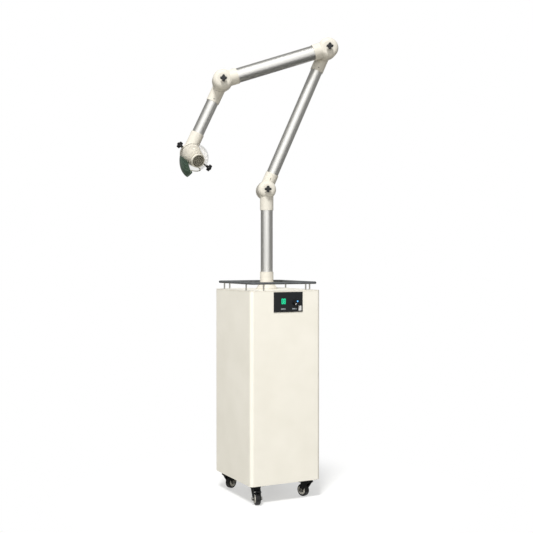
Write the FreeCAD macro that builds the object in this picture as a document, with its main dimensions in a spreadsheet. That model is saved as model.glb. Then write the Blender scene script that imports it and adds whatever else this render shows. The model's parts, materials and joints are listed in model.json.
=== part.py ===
import FreeCAD, Part
import math
import os
import re
import Sketcher
from types import SimpleNamespace
from FreeCAD import Placement, Rotation, Vector

# Extraoral suction unit: a wheeled cabinet with filters and a blower, and a jointed hollow arm
# that carries an intake hood. Millimetres, +Z up, front towards -Y, origin on the floor under
# the cabinet's centre.

doc = FreeCAD.newDocument("suction_unit")
sheet = doc.addObject("Spreadsheet::Sheet", "Sizes")

SIZES = {
    # Fits
    "running": 0.05,
    "clearance": 0.3,
    # Cabinet
    "cabinet_width": 313,
    "cabinet_depth": 345,
    "cabinet_height": 770,
    "corner_radius": 14,
    "sheet_wall": 1.5,
    "base_thickness": 3,
    "top_thickness": 2.5,
    "top_gap": 1.5,
    "top_lip_depth": 8,
    # Guard rail on the cabinet's top
    "rail_radius": 5,
    "rail_rise": 29,
    "rail_inset": 12,
    "rail_corner": 12,
    "rail_post_radius": 3,
    "rail_post_inset_x": 61.5,
    "rail_post_inset_y": 67.5,
    # Control panel
    "panel_width": 130,
    "panel_height": 80,
    "panel_thickness": 2,
    "panel_overlap": 4,
    "panel_shift": 8.5,
    "panel_drop": 6,
    "display_width": 21,
    "display_height": 24,
    "display_left": 13,
    "display_drop": 43,
    "dial_right": 40,
    "dial_drop": 48,
    "dial_radius": 11,
    "dial_depth": 12,
    "dial_rib": 1.6,
    "dial_shaft_radius": 3,
    "key_right": 60.5,
    "key_drop": 71.5,
    "key_width": 12,
    "key_height": 19,
    "key_proud": 2.5,
    "key_depth": 8,
    "board_gap": 14,
    "board_thickness": 1.6,
    "board_margin": 4,
    "boss_radius": 3,
    "boss_inset": 20,
    # Rear panel, louvres and mains inlet
    "rear_side_margin": 20,
    "rear_bottom": 150,
    "rear_top_margin": 26,
    "rear_overlap": 10,
    "louvre_width": 66,
    "louvre_height": 5,
    "louvre_pitch": 9,
    "screw_radius": 2.5,
    "screw_head_radius": 5,
    "screw_head_height": 2.5,
    "inlet_x": 70,
    "inlet_rise": 40,
    "inlet_width": 48,
    "inlet_height": 58,
    "inlet_depth": 26,
    "inlet_flange": 4,
    "socket_width": 25,
    "socket_height": 17,
    "socket_depth": 16,
    "rocker_width": 20,
    "rocker_height": 14,
    "rocker_depth": 12,
    "rocker_pin_radius": 1.5,
    # Air path inside the cabinet
    "duct_flange_radius": 40,
    "duct_flange_thickness": 2,
    "filter_box_height": 300,
    "filter_box_depth": 250,
    "filter_box_drop": 86,
    "filter_box_back": 20,
    "filter_ledge": 12,
    "filter_gap": 2,
    "carbon_height": 50,
    "hepa_height": 150,
    "prefilter_height": 30,
    "filter_recess": 4,
    "filter_frame": 12,
    "scroll_radius": 95,
    "scroll_height": 90,
    "scroll_wall": 3,
    "scroll_neck": 10,
    "inlet_eye_radius": 50,
    "nozzle_width": 80,
    "nozzle_height": 66,
    "motor_radius": 60,
    "motor_height": 110,
    "motor_shaft_radius": 6,
    "impeller_radius": 80,
    "impeller_plate": 3,
    "impeller_gap": 5,
    "impeller_hub_radius": 14,
    "blade_thickness": 2,
    "blade_length": 26,
    "blade_height": 60,
    # Casters
    "caster_height": 76,
    "caster_inset_x": 38.5,
    "caster_inset_y": 38.5,
    "caster_plate": 60,
    "caster_plate_thickness": 3,
    "kingpin_radius": 5,
    "kingpin_length": 6,
    "swivel_radius": 22,
    "swivel_height": 7,
    "fork_wall": 3,
    "fork_gap": 25,
    "fork_front": 18,
    "fork_back": 20,
    "fork_bridge": 6,
    "fork_boss_radius": 9,
    "caster_trail": 22,
    "axle_radius": 4,
    "wheel_radius": 25,
    "tyre_width": 20,
    "tyre_round": 4,
    "hub_radius": 17,
    "hub_width": 22,
    "hub_groove_outer": 14,
    "hub_groove_inner": 8,
    "hub_groove_depth": 3,
    "brake_pin_radius": 2,
    "brake_barrel_radius": 4,
    "brake_pivot_x": 16,
    "brake_pivot_drop": 18,
    "brake_length": 34,
    "brake_width": 20,
    "brake_thickness": 3,
    # Post on the cabinet
    "flange_radius": 43.5,
    "flange_height": 26,
    "flange_edge": 5,
    "flange_neck_radius": 30,
    "flange_seat": 3,
    "flange_screw_circle": 36,
    "base_collar_radius": 27.75,
    "base_collar_height": 46,
    "post_rise": 411.7,
    # Arm tubes
    "tube_radius": 25,
    "upper_tube_radius": 30,
    "tube_wall": 1.5,
    "arm_swivel": -20,
    "lower_arm_length": 642.4,
    "lower_arm_lean": 23.4,
    "upper_arm_length": 460,
    "upper_arm_fall": 17.85,
    "drop_arm_length": 320,
    "drop_arm_lean": 25.2,
    # Knuckles
    "seam_gap": 0.3,
    "knuckle_radius": 37.5,
    "knuckle_depth": 62,
    "upper_knuckle_radius": 42,
    "upper_knuckle_depth": 70,
    "knuckle_round": 20,
    "knuckle_wall": 4,
    "collar_wall": 2.75,
    "socket_length": 30,
    "post_reach": 85,
    "lower_near_reach": 77,
    "lower_far_reach": 90,
    "upper_reach": 64,
    "drop_near_reach": 88,
    "drop_far_reach": 86,
    "stud_radius": 4,
    "nut_boss_radius": 9,
    "nut_boss_length": 40,
    # Star knobs
    "knob_neck_radius": 5.5,
    "knob_neck": 8,
    "knob_hub_radius": 9,
    "knob_height": 13,
    "knob_lobe_radius": 5.5,
    "knob_lobe_circle": 8.5,
    "knob_round": 2,
    # Hood and its half of the last joint
    "head_azimuth": 3.6,
    "head_fall": 27.3,
    "hood_knuckle_radius": 44,
    "hood_knuckle_depth": 28,
    "hood_knuckle_round": 18,
    "hood_collar_rise": 20,
    "hood_screw_rise": 5.3,
    "hood_screw_longitude": -121.5,
    "hood_boss_radius": 5,
    "hood_boss_height": 6,
    "hood_offset": 41,
    "hood_wall": 3,
    "hood_spigot": 9,
    "hood_cone_height": 28,
    "hood_end_radius": 31,
    "hood_hub_radius": 29,
    "hood_hub_height": 11,
    "grille_radius": 26,
    "grille_depth": 4,
    "grille_ledge": 2,
    "grille_spoke": 3,
    "shroud_radius": 58,
    "shroud_wall": 3,
    "shroud_top": 33,
    "shroud_skirt": 28,
    "shroud_mouth": 46,
    "lip_reach": 90,
    "lip_wall": 3,
    "lip_edge": 31.5,
    "lip_edge_latitude": 3.7,
    "lip_edge_longitude": -33.6,
    "lip_end": 27.9,
    "lip_end_latitude": -19,
    "lip_end_longitude": -62.2,
    "lip_tip": 28.3,
    "lip_tip_latitude": 39.9,
    "lip_tip_longitude": 56.7,
    "lip_back": 30,
    "lip_front": 50,
    "clamp_latitude": 17.4,
    "clamp_longitude": 62.6,
    "clamp_boss_radius": 7,
    "clamp_boss_height": 3,
    "clamp_stud_radius": 3,
    "clamp_reach": 36.5,
}

for row, (alias, number) in enumerate(SIZES.items(), 1):
    sheet.set("A%d" % row, alias)
    sheet.set("B%d" % row, str(number))
    sheet.setAlias("B%d" % row, alias)
doc.recompute()
size = SimpleNamespace(**{alias: float(sheet.get(alias)) for alias in SIZES})

X_AXIS = Vector(1, 0, 0)
Y_AXIS = Vector(0, 1, 0)
Z_AXIS = Vector(0, 0, 1)
UPRIGHT = Rotation()
ALONG_X = Rotation(Y_AXIS, 90)
ALONG_Y = Rotation(X_AXIS, -90)

sub_parts = []


def cell_expression(words):
    """Write a size expression with each size's name pointing at its cell."""
    return re.sub(r"[a-z][a-z_]*", lambda m: "Sizes." + m[0] if m[0] in SIZES else m[0], words)


def bind(obj, **properties):
    for name, words in properties.items():
        obj.setExpression(name, cell_expression(words))
    return obj


def place(obj, at, turn, frame):
    """Put an object at words for sizes in the part's frame, or at numbers in a frame of its own."""
    if frame is None:
        obj.Placement = Placement(Vector(), turn)
        for axis, words in zip("xyz", at):
            obj.setExpression("Placement.Base." + axis, cell_expression(words))
    else:
        obj.Placement = frame.multiply(Placement(Vector(*at), turn))
    return obj


def origin_for(frame):
    return ("0", "0", "0") if frame is None else (0, 0, 0)


def solid(kind, at=None, turn=UPRIGHT, frame=None, **sizes):
    """A primitive: sizes are words, its place is words or numbers in a frame."""
    obj = doc.addObject("Part::" + kind, kind.lower())
    bind(obj, **sizes)
    return place(obj, at or origin_for(frame), turn, frame)


def rod(radius, height, at=None, turn=UPRIGHT, frame=None):
    return solid("Cylinder", at, turn, frame, Radius=radius, Height=height)


def block(length, width, height, x="0", y="0", z="0"):
    """A box centred on x and y that stands on z."""
    corner = ("(%s) - (%s)/2" % (x, length), "(%s) - (%s)/2" % (y, width), z)
    return solid("Box", corner, Length=length, Width=width, Height=height)


def block_in(frame, length, width, height, at=(0, 0, 0)):
    """A box in a frame, centred on its place across and standing on it."""
    obj = solid("Box", (0, 0, 0), UPRIGHT, frame, Length=length, Width=width, Height=height)
    doc.recompute([obj])
    corner = Vector(*at) - Vector(obj.Length.Value / 2, obj.Width.Value / 2, 0)
    obj.Placement = frame.multiply(Placement(corner, UPRIGHT))
    return obj


def fuse(*shapes):
    obj = doc.addObject("Part::MultiFuse", "fusion")
    obj.Shapes = list(shapes)
    obj.Refine = True
    return obj


def cut(base, *tools):
    obj = doc.addObject("Part::Cut", "cut")
    obj.Base = base
    obj.Tool = tools[0] if len(tools) == 1 else fuse(*tools)
    obj.Refine = True
    return obj


def common(first, second):
    obj = doc.addObject("Part::Common", "overlap")
    obj.Base = first
    obj.Tool = second
    return obj


def group(*shapes):
    obj = doc.addObject("Part::Compound", "set")
    obj.Links = list(shapes)
    return obj


def rounded(base, radius, choose):
    """Round the edges of a shape that the test picks."""
    doc.recompute()
    obj = doc.addObject("Part::Fillet", "rounded")
    obj.Base = base
    picked = [i for i, edge in enumerate(base.Shape.Edges, 1) if choose(edge)]
    obj.Edges = [(i, radius, radius) for i in picked]
    return obj


def is_circle(edge):
    return isinstance(edge.Curve, Part.Circle) and edge.Closed


def sub_part(label, obj):
    obj.Label = label
    sub_parts.append(obj)
    return obj


def plane_of(body, role):
    return next(f for f in body.Origin.OriginFeatures if f.Role == role)


def rectangle(sketch, width, height):
    """A rectangle about the sketch's origin, with its width and height tied to sizes."""
    corners = [Vector(-1, -1), Vector(1, -1), Vector(1, 1), Vector(-1, 1)]
    for start, end in zip(corners, corners[1:] + corners[:1]):
        sketch.addGeometry(Part.LineSegment(start, end))
    for i in range(4):
        sketch.addConstraint(Sketcher.Constraint("Coincident", i, 2, (i + 1) % 4, 1))
    for i in (0, 2):
        sketch.addConstraint(Sketcher.Constraint("Horizontal", i))
        sketch.addConstraint(Sketcher.Constraint("Vertical", i + 1))
    sketch.addConstraint(Sketcher.Constraint("Symmetric", 0, 1, 2, 1, -1, 1))
    for name, kind, line, words in (("wide", "DistanceX", 0, width), ("high", "DistanceY", 1, height)):
        index = sketch.addConstraint(Sketcher.Constraint(kind, line, 1, line, 2, 2))
        sketch.renameConstraint(index, name)
        sketch.setExpression("Constraints." + name, cell_expression(words))


def rounded_block(name, width, depth, height, corner, z):
    """A body padded from a rectangle, with its upright edges rounded."""
    body = doc.addObject("PartDesign::Body", name)
    sketch = body.newObject("Sketcher::SketchObject", name + "_outline")
    sketch.AttachmentSupport = (plane_of(body, "XY_Plane"), [""])
    sketch.MapMode = "FlatFace"
    rectangle(sketch, width, depth)
    pad = body.newObject("PartDesign::Pad", name + "_pad")
    pad.Profile = sketch
    bind(pad, Length=height)
    doc.recompute()
    upright = [i for i, e in enumerate(pad.Shape.Edges, 1) if abs(e.tangentAt(e.FirstParameter).z) > 0.9]
    fillet = body.newObject("PartDesign::Fillet", name + "_corners")
    fillet.Base = (pad, ["Edge%d" % i for i in upright])
    bind(fillet, Radius=corner)
    return place(body, ("0", "0", z), UPRIGHT, None)


def frame_at(origin, z_axis, x_axis):
    """A frame with its Z along one direction and its X as near to another as it can be."""
    y_axis = z_axis.cross(x_axis).normalize()
    return Placement(origin, Rotation(y_axis.cross(z_axis), y_axis, z_axis, "ZXY"))


# Cabinet: base plate, wrapped sheet shell and top plate

CABINET_TOP = "caster_height + cabinet_height"
SHELL_HEIGHT = "cabinet_height - top_thickness - top_gap"
INNER_WIDTH = "cabinet_width - 2*sheet_wall"
INNER_DEPTH = "cabinet_depth - 2*sheet_wall"
FRONT = "-cabinet_depth/2"
REAR = "cabinet_depth/2"
PLATE_UNDERSIDE = "caster_height + cabinet_height - top_thickness"
PANEL_BOTTOM = "caster_height + cabinet_height - panel_drop - panel_height"
REAR_WIDTH = "cabinet_width - 2*rear_side_margin"
REAR_TOP = "caster_height + cabinet_height - rear_top_margin"
INLET_Z = "caster_height + inlet_rise - inlet_height/2"

shell_outside = rounded_block(
    "shell_outside", "cabinet_width", "cabinet_depth", SHELL_HEIGHT, "corner_radius", "caster_height")
shell_inside = rounded_block(
    "shell_inside", INNER_WIDTH, INNER_DEPTH, SHELL_HEIGHT, "corner_radius - sheet_wall", "caster_height")
panel_window = block(
    "panel_width - 2*panel_overlap", "6*sheet_wall", "panel_height - 2*panel_overlap",
    "panel_shift", FRONT, PANEL_BOTTOM + " + panel_overlap")
rear_window = block(
    REAR_WIDTH + " - 2*rear_overlap", "6*sheet_wall",
    "(%s) - caster_height - rear_bottom - 2*rear_overlap" % REAR_TOP,
    "0", REAR, "caster_height + rear_bottom + rear_overlap")
mains_window = block("inlet_width", "6*sheet_wall", "inlet_height", "-inlet_x", REAR, INLET_Z)
sub_part("cabinet_shell", cut(shell_outside, shell_inside, panel_window, rear_window, mains_window))

sub_part("base_plate", rounded_block(
    "base_plate_body", INNER_WIDTH, INNER_DEPTH, "base_thickness", "corner_radius - sheet_wall",
    "caster_height"))

LIP_BOTTOM = PLATE_UNDERSIDE + " - top_lip_depth"
cover = rounded_block(
    "cover", "cabinet_width", "cabinet_depth", "top_thickness", "corner_radius", PLATE_UNDERSIDE)
lip = rounded_block(
    "lip", INNER_WIDTH, INNER_DEPTH, "top_lip_depth", "corner_radius - sheet_wall", LIP_BOTTOM)
lip_inside = rounded_block(
    "lip_inside", INNER_WIDTH + " - 2*sheet_wall", INNER_DEPTH + " - 2*sheet_wall", "top_lip_depth",
    "corner_radius - 2*sheet_wall", LIP_BOTTOM)
duct_hole = rod(
    "tube_radius - tube_wall", "4*top_thickness", ("0", "0", PLATE_UNDERSIDE + " - top_thickness"))
sub_part("top_plate", cut(fuse(cover, cut(lip, lip_inside)), duct_hole))

# Guard rail: one closed loop of round bar on slender posts

RAIL_Z = CABINET_TOP + " + rail_rise"
RAIL_X = "cabinet_width/2 - rail_inset"
RAIL_Y = "cabinet_depth/2 - rail_inset"
rail_pieces = []
for side in ("", "-"):
    rail_pieces.append(rod(
        "rail_radius", "2*(%s - rail_corner)" % RAIL_X,
        ("rail_corner - (%s)" % RAIL_X, "%s(%s)" % (side, RAIL_Y), RAIL_Z), ALONG_X))
    rail_pieces.append(rod(
        "rail_radius", "2*(%s - rail_corner)" % RAIL_Y,
        ("%s(%s)" % (side, RAIL_X), "rail_corner - (%s)" % RAIL_Y, RAIL_Z), ALONG_Y))
for quarter, (x_side, y_side) in enumerate((("", ""), ("-", ""), ("-", "-"), ("", "-"))):
    bend = solid(
        "Torus",
        ("%s(%s - rail_corner)" % (x_side, RAIL_X), "%s(%s - rail_corner)" % (y_side, RAIL_Y), RAIL_Z),
        Rotation(Z_AXIS, 90 * quarter), None, Radius1="rail_corner", Radius2="rail_radius")
    bend.Angle3 = 90
    rail_pieces.append(bend)
guard_rail = sub_part("guard_rail", fuse(*rail_pieces))

POST_X = "(cabinet_width/2 - rail_post_inset_x)"
POST_Y = "(cabinet_depth/2 - rail_post_inset_y)"
rail_posts = []
for side in ("", "-"):
    for hand in ("", "-"):
        rail_posts.append(rod(
            "rail_post_radius", "rail_rise", (hand + POST_X, "%s(%s)" % (side, RAIL_Y), CABINET_TOP)))
        rail_posts.append(rod(
            "rail_post_radius", "rail_rise", ("%s(%s)" % (side, RAIL_X), hand + POST_Y, CABINET_TOP)))
sub_part("rail_posts", cut(group(*rail_posts), guard_rail))

# Control panel: black plate with bosses for the circuit board, display, dial and key

PANEL_BACK = "-cabinet_depth/2"
BOSS_X = "panel_width/2 - panel_overlap - boss_inset - boss_radius"
BOSS_Z = "panel_height/2 - panel_overlap - board_margin - boss_radius"
PANEL_MIDDLE = PANEL_BOTTOM + " + panel_height/2"
DIAL_Z = CABINET_TOP + " - dial_drop"
KEY_Z = CABINET_TOP + " - key_drop - key_height/2"
DISPLAY_Z = CABINET_TOP + " - display_drop - display_height/2"

panel_sheet = block(
    "panel_width", "panel_thickness", "panel_height",
    "panel_shift", PANEL_BACK + " - panel_thickness/2", PANEL_BOTTOM)
bosses = []
for hand in ("", "-"):
    for side in ("", "-"):
        bosses.append(rod(
            "boss_radius", "board_gap",
            ("panel_shift + %s(%s)" % (hand, BOSS_X), PANEL_BACK,
             "%s + %s(%s)" % (PANEL_MIDDLE, side, BOSS_Z)),
            ALONG_Y))
display_hole = block(
    "display_width", "4*panel_thickness", "display_height", "-display_left", PANEL_BACK, DISPLAY_Z)
dial_hole = rod(
    "dial_shaft_radius + running", "4*panel_thickness",
    ("dial_right", PANEL_BACK + " - 2*panel_thickness", DIAL_Z), ALONG_Y)
key_hole = block(
    "key_width + 2*clearance", "4*panel_thickness", "key_height + 2*clearance",
    "key_right", PANEL_BACK, KEY_Z + " - clearance")
sub_part("control_panel", cut(fuse(panel_sheet, *bosses), display_hole, dial_hole, key_hole))

sub_part("display_window", block(
    "display_width", "panel_thickness", "display_height",
    "-display_left", PANEL_BACK + " - panel_thickness/2", DISPLAY_Z))

BOARD_FRONT = PANEL_BACK + " + board_gap"
board = block(
    "panel_width - 2*panel_overlap - board_margin", "board_thickness",
    "panel_height - 2*panel_overlap - board_margin",
    "panel_shift", BOARD_FRONT + " + board_thickness/2",
    PANEL_MIDDLE + " - panel_height/2 + panel_overlap + board_margin/2")
dial_encoder = block(
    "4*dial_shaft_radius", "board_gap/2", "4*dial_shaft_radius",
    "dial_right", BOARD_FRONT + " - board_gap/4", DIAL_Z + " - 2*dial_shaft_radius")
encoder_bore = rod(
    "dial_shaft_radius + running", "board_gap/2 - clearance",
    ("dial_right", BOARD_FRONT + " - board_gap/2", DIAL_Z), ALONG_Y)
sub_part("control_board", cut(fuse(board, dial_encoder), encoder_bore))

PANEL_FRONT = PANEL_BACK + " - panel_thickness"
dial_grip = rod(
    "dial_radius", "dial_depth", ("dial_right", PANEL_FRONT + " - clearance - dial_depth", DIAL_Z), ALONG_Y)
dial_shaft = rod(
    "dial_shaft_radius", "panel_thickness + 2*clearance + board_gap/2",
    ("dial_right", PANEL_FRONT + " - clearance", DIAL_Z), ALONG_Y)
dial_pointer = block(
    "dial_rib", "dial_rib", "dial_radius",
    "dial_right", PANEL_FRONT + " - clearance - dial_depth", DIAL_Z)
sub_part("control_dial", cut(fuse(dial_grip, dial_shaft), dial_pointer))

sub_part("power_key", block(
    "key_width", "key_depth + key_proud", "key_height",
    "key_right", PANEL_FRONT + " - key_proud + (key_depth + key_proud)/2", KEY_Z))

# Rear panel with exhaust louvres, and the mains inlet with its rocker switch

NOZZLE_X = "scroll_radius - nozzle_width/2"
FILTER_TOP = "caster_height + cabinet_height - filter_box_drop"
FILTER_BOTTOM = FILTER_TOP + " - filter_box_height"
SCROLL_TOP = FILTER_BOTTOM + " - scroll_neck"
SCROLL_BOTTOM = SCROLL_TOP + " - scroll_height"
NOZZLE_BOTTOM = SCROLL_BOTTOM + " + (scroll_height - nozzle_height)/2"
REAR_BOTTOM = "caster_height + rear_bottom"
LOUVRES = int((size.nozzle_height - 2 * size.scroll_wall) // size.louvre_pitch)

rear_sheet = block(
    REAR_WIDTH, "sheet_wall", "(%s) - (%s)" % (REAR_TOP, REAR_BOTTOM),
    "0", REAR + " + sheet_wall/2", REAR_BOTTOM)
louvres = [
    block("louvre_width", "4*sheet_wall", "louvre_height", NOZZLE_X, REAR,
          "%s + scroll_wall + %d*louvre_pitch" % (NOZZLE_BOTTOM, i))
    for i in range(LOUVRES)]
SCREW_X = REAR_WIDTH + " - rear_overlap"
screw_places = []
for hand in ("", "-"):
    for z in (REAR_BOTTOM + " + rear_overlap/2", REAR_TOP + " - rear_overlap/2"):
        screw_places.append(("%s(%s)/2" % (hand, SCREW_X), z))
rear_holes = [
    rod("screw_radius", "4*sheet_wall", (x, REAR + " - 2*sheet_wall", z), ALONG_Y) for x, z in screw_places]
sub_part("rear_panel", cut(rear_sheet, *louvres, *rear_holes))

mains_body = block(
    "inlet_width", "inlet_depth", "inlet_height", "-inlet_x", REAR + " - inlet_depth/2", INLET_Z)
mains_flange = block(
    "inlet_width + 2*inlet_flange", "sheet_wall", "inlet_height + 2*inlet_flange",
    "-inlet_x", REAR + " + sheet_wall/2", INLET_Z + " - inlet_flange")
SOCKET_Z = INLET_Z + " + inlet_height/4 - socket_height/2"
ROCKER_Z = INLET_Z + " + 3*inlet_height/4"
socket_recess = block(
    "socket_width", "2*socket_depth", "socket_height", "-inlet_x", REAR + " + sheet_wall", SOCKET_Z)
rocker_recess = block(
    "rocker_width + 2*clearance", "2*rocker_depth", "2*rocker_height",
    "-inlet_x", REAR + " + sheet_wall", ROCKER_Z + " - rocker_height")
contacts = [
    block("socket_height/8", "socket_depth - sheet_wall", "socket_height/4",
          "-inlet_x + %d*socket_width/4" % i,
          REAR + " - socket_depth/2 + sheet_wall/2", SOCKET_Z + " + 3*socket_height/8")
    for i in (-1, 0, 1)]
rocker_pin = rod(
    "rocker_pin_radius", "rocker_width + 4*clearance",
    ("-inlet_x - rocker_width/2 - 2*clearance", REAR + " - rocker_depth/3", ROCKER_Z), ALONG_X)
sub_part("mains_inlet", fuse(
    cut(fuse(mains_body, mains_flange), socket_recess, rocker_recess), rocker_pin, *contacts))

rocker_cap = rod(
    "rocker_height", "rocker_width",
    ("-inlet_x - rocker_width/2", REAR + " - rocker_depth/3", ROCKER_Z), ALONG_X)
rocker_face = block(
    "rocker_width", "rocker_depth", "1.6*rocker_height",
    "-inlet_x", REAR + " - rocker_depth/3 + rocker_depth/4", ROCKER_Z + " - 0.8*rocker_height")
rocker_bore = rod(
    "rocker_pin_radius + running", "rocker_width",
    ("-inlet_x - rocker_width/2", REAR + " - rocker_depth/3", ROCKER_Z), ALONG_X)
sub_part("rocker_switch", cut(common(rocker_cap, rocker_face), rocker_bore))

# Air path: inlet duct, filter box with its three filters, blower scroll, impeller and motor

duct_pipe = rod(
    "tube_radius", "(%s) - (%s)" % (PLATE_UNDERSIDE, FILTER_TOP), ("0", "0", FILTER_TOP))
duct_flange = rod(
    "duct_flange_radius", "duct_flange_thickness", ("0", "0", PLATE_UNDERSIDE + " - duct_flange_thickness"))
duct_bore = rod(
    "tube_radius - tube_wall", "2*filter_box_drop", ("0", "0", FILTER_TOP + " - filter_box_drop/2"))
sub_part("inlet_duct", cut(fuse(duct_pipe, duct_flange), duct_bore))

box_outside = block(
    INNER_WIDTH, "filter_box_depth", "filter_box_height", "0", "filter_box_back", FILTER_BOTTOM)
box_inside = block(
    INNER_WIDTH + " - 2*sheet_wall", "filter_box_depth", "filter_box_height - 2*sheet_wall",
    "0", "filter_box_back + sheet_wall", FILTER_BOTTOM + " + sheet_wall")
box_inlet = rod("tube_radius - tube_wall", "4*sheet_wall", ("0", "0", FILTER_TOP + " - 2*sheet_wall"))
box_outlet = rod("inlet_eye_radius", "4*sheet_wall", ("0", "0", FILTER_BOTTOM + " - 2*sheet_wall"))
ledges = [
    block("filter_ledge", "filter_box_depth - 2*sheet_wall", "filter_ledge",
          "%s(%s - 2*sheet_wall - filter_ledge)/2" % (hand, INNER_WIDTH), "filter_box_back",
          FILTER_BOTTOM + " + sheet_wall")
    for hand in ("", "-")]
sub_part("filter_box", fuse(cut(box_outside, box_inside, box_inlet, box_outlet), *ledges))


def filter_cartridge(label, height, bottom):
    """A filter pack with a frame that stands proud round its faces."""
    width = INNER_WIDTH + " - 2*sheet_wall - 2*filter_gap"
    depth = "filter_box_depth - 4*filter_gap"
    pack = block(width, depth, height, "0", "filter_box_back", bottom)
    open_width = "%s - 2*filter_frame" % width
    open_depth = "%s - 2*filter_frame" % depth
    below = block(open_width, open_depth, "filter_recess", "0", "filter_box_back", bottom)
    above = block(
        open_width, open_depth, "filter_recess", "0", "filter_box_back",
        "%s + %s - filter_recess" % (bottom, height))
    sub_part(label, cut(pack, below, above))


CARBON_Z = FILTER_BOTTOM + " + sheet_wall + filter_ledge"
filter_cartridge("carbon_filter", "carbon_height", CARBON_Z)
filter_cartridge("hepa_filter", "hepa_height", CARBON_Z + " + carbon_height")
filter_cartridge("prefilter", "prefilter_height", CARBON_Z + " + carbon_height + hepa_height")

scroll_drum = rod("scroll_radius", "scroll_height", ("0", "0", SCROLL_BOTTOM))
scroll_neck = rod("inlet_eye_radius + scroll_wall", "scroll_neck", ("0", "0", SCROLL_TOP))
nozzle = block(
    "nozzle_width", REAR, "nozzle_height", NOZZLE_X, "cabinet_depth/4", NOZZLE_BOTTOM)
drum_inside = rod(
    "scroll_radius - scroll_wall", "scroll_height - 2*scroll_wall",
    ("0", "0", SCROLL_BOTTOM + " + scroll_wall"))
nozzle_inside = block(
    "nozzle_width - 2*scroll_wall", REAR, "nozzle_height - 2*scroll_wall",
    NOZZLE_X, "cabinet_depth/4", NOZZLE_BOTTOM + " + scroll_wall")
eye = rod("inlet_eye_radius", "3*scroll_neck", ("0", "0", SCROLL_TOP + " - scroll_neck"))
shaft_hole = rod(
    "2*motor_shaft_radius", "4*scroll_wall", ("0", "0", SCROLL_BOTTOM + " - 2*scroll_wall"))
sub_part("blower_scroll", cut(
    fuse(scroll_drum, scroll_neck, nozzle), drum_inside, nozzle_inside, eye, shaft_hole))

MOTOR_BOTTOM = SCROLL_BOTTOM + " - motor_height"
motor_can = rod("motor_radius", "motor_height", ("0", "0", MOTOR_BOTTOM))
motor_bore = rod(
    "motor_shaft_radius + running", "motor_height", ("0", "0", MOTOR_BOTTOM + " + motor_height/2"))
sub_part("blower_motor", cut(motor_can, motor_bore))

BLADES = 12
WHEEL_BOTTOM = SCROLL_BOTTOM + " + scroll_wall + impeller_gap"
wheel_z = (
    size.caster_height + size.cabinet_height - size.filter_box_drop - size.filter_box_height
    - size.scroll_neck - size.scroll_height + size.scroll_wall + size.impeller_gap + size.impeller_plate)
wheel_pieces = [
    rod("impeller_radius", "impeller_plate", ("0", "0", WHEEL_BOTTOM)),
    rod("impeller_hub_radius", "blade_height/2", ("0", "0", WHEEL_BOTTOM)),
    rod("motor_shaft_radius", "motor_height/2 + scroll_wall + impeller_gap - clearance",
        ("0", "0", MOTOR_BOTTOM + " + motor_height/2 + clearance"))]
for i in range(BLADES):
    blade_frame = Placement(Vector(0, 0, wheel_z), Rotation(Z_AXIS, 360 * i / BLADES))
    blade_middle = size.impeller_radius - size.blade_length / 2
    wheel_pieces.append(block_in(
        blade_frame, "blade_length", "blade_thickness", "blade_height", (blade_middle, 0, 0)))
sub_part("impeller", fuse(*wheel_pieces))

# Casters: plates with kingpins, swivel forks, wheels, and brakes on the front pair

CASTERS = (
    ("front_left", -1, -1, -100),
    ("front_right", 1, -1, 110),
    ("rear_left", -1, 1, 22),
    ("rear_right", 1, 1, 40),
)
plate_z = size.caster_height - size.caster_plate_thickness
swivel_top = plate_z - size.clearance
fork_top = swivel_top - size.swivel_height
brake_z = plate_z - size.brake_pivot_drop
caster_plates = []


def fork(frame):
    """Swivel head, two tapering cheeks, the axle and the pin that a brake turns on."""
    cheek_y = size.fork_gap / 2
    leg_height = fork_top - size.wheel_radius
    pieces = [
        rod("swivel_radius", "swivel_height", (0, 0, fork_top), UPRIGHT, frame),
        block_in(
            frame, "fork_front + fork_back", "fork_gap + 2*fork_wall", "fork_bridge",
            ((size.fork_back - size.fork_front) / 2, 0, fork_top - size.fork_bridge)),
        rod("axle_radius", "fork_gap + 2*fork_wall",
            (size.caster_trail, -cheek_y - size.fork_wall, size.wheel_radius), ALONG_Y, frame)]
    for side in (cheek_y + size.fork_wall, -cheek_y):
        cheek = solid(
            "Wedge", (0, side, size.wheel_radius), Rotation(X_AXIS, 90), frame,
            Xmin="caster_trail - fork_boss_radius", Xmax="caster_trail + fork_boss_radius",
            X2min="-fork_front", X2max="fork_back", Zmax="fork_wall", Z2max="fork_wall")
        cheek.Ymin = cheek.Zmin = cheek.Z2min = 0
        cheek.Ymax = leg_height
        pieces.append(cheek)
        pieces.append(rod(
            "fork_boss_radius", "fork_wall",
            (size.caster_trail, side - size.fork_wall, size.wheel_radius), ALONG_Y, frame))
    king_bore = rod(
        "kingpin_radius + running", "2*kingpin_length",
        (0, 0, plate_z - size.kingpin_length - size.clearance), UPRIGHT, frame)
    return pieces, king_bore


def brake_pin(frame):
    return rod(
        "brake_pin_radius", "fork_gap", (size.brake_pivot_x, -size.fork_gap / 2, brake_z), ALONG_Y, frame)


def brake_pedal(frame):
    """A tread plate on a barrel that turns on the fork's pin, above the tyre."""
    half = size.brake_width / 2
    barrel = rod(
        "brake_barrel_radius", "brake_width", (size.brake_pivot_x, -half, brake_z), ALONG_Y, frame)
    tread = block_in(
        frame, "brake_length", "brake_width", "brake_thickness",
        (size.brake_pivot_x + size.brake_length / 2, 0, brake_z))
    bore = rod(
        "brake_pin_radius + running", "brake_width", (size.brake_pivot_x, -half, brake_z), ALONG_Y, frame)
    return cut(fuse(barrel, tread), bore)


def across_wheel(frame, radius, width, offset):
    """A disc on the wheel's axis, from an offset along the axle."""
    return rod(radius, width, (size.caster_trail, offset, size.wheel_radius), ALONG_Y, frame)


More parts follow.
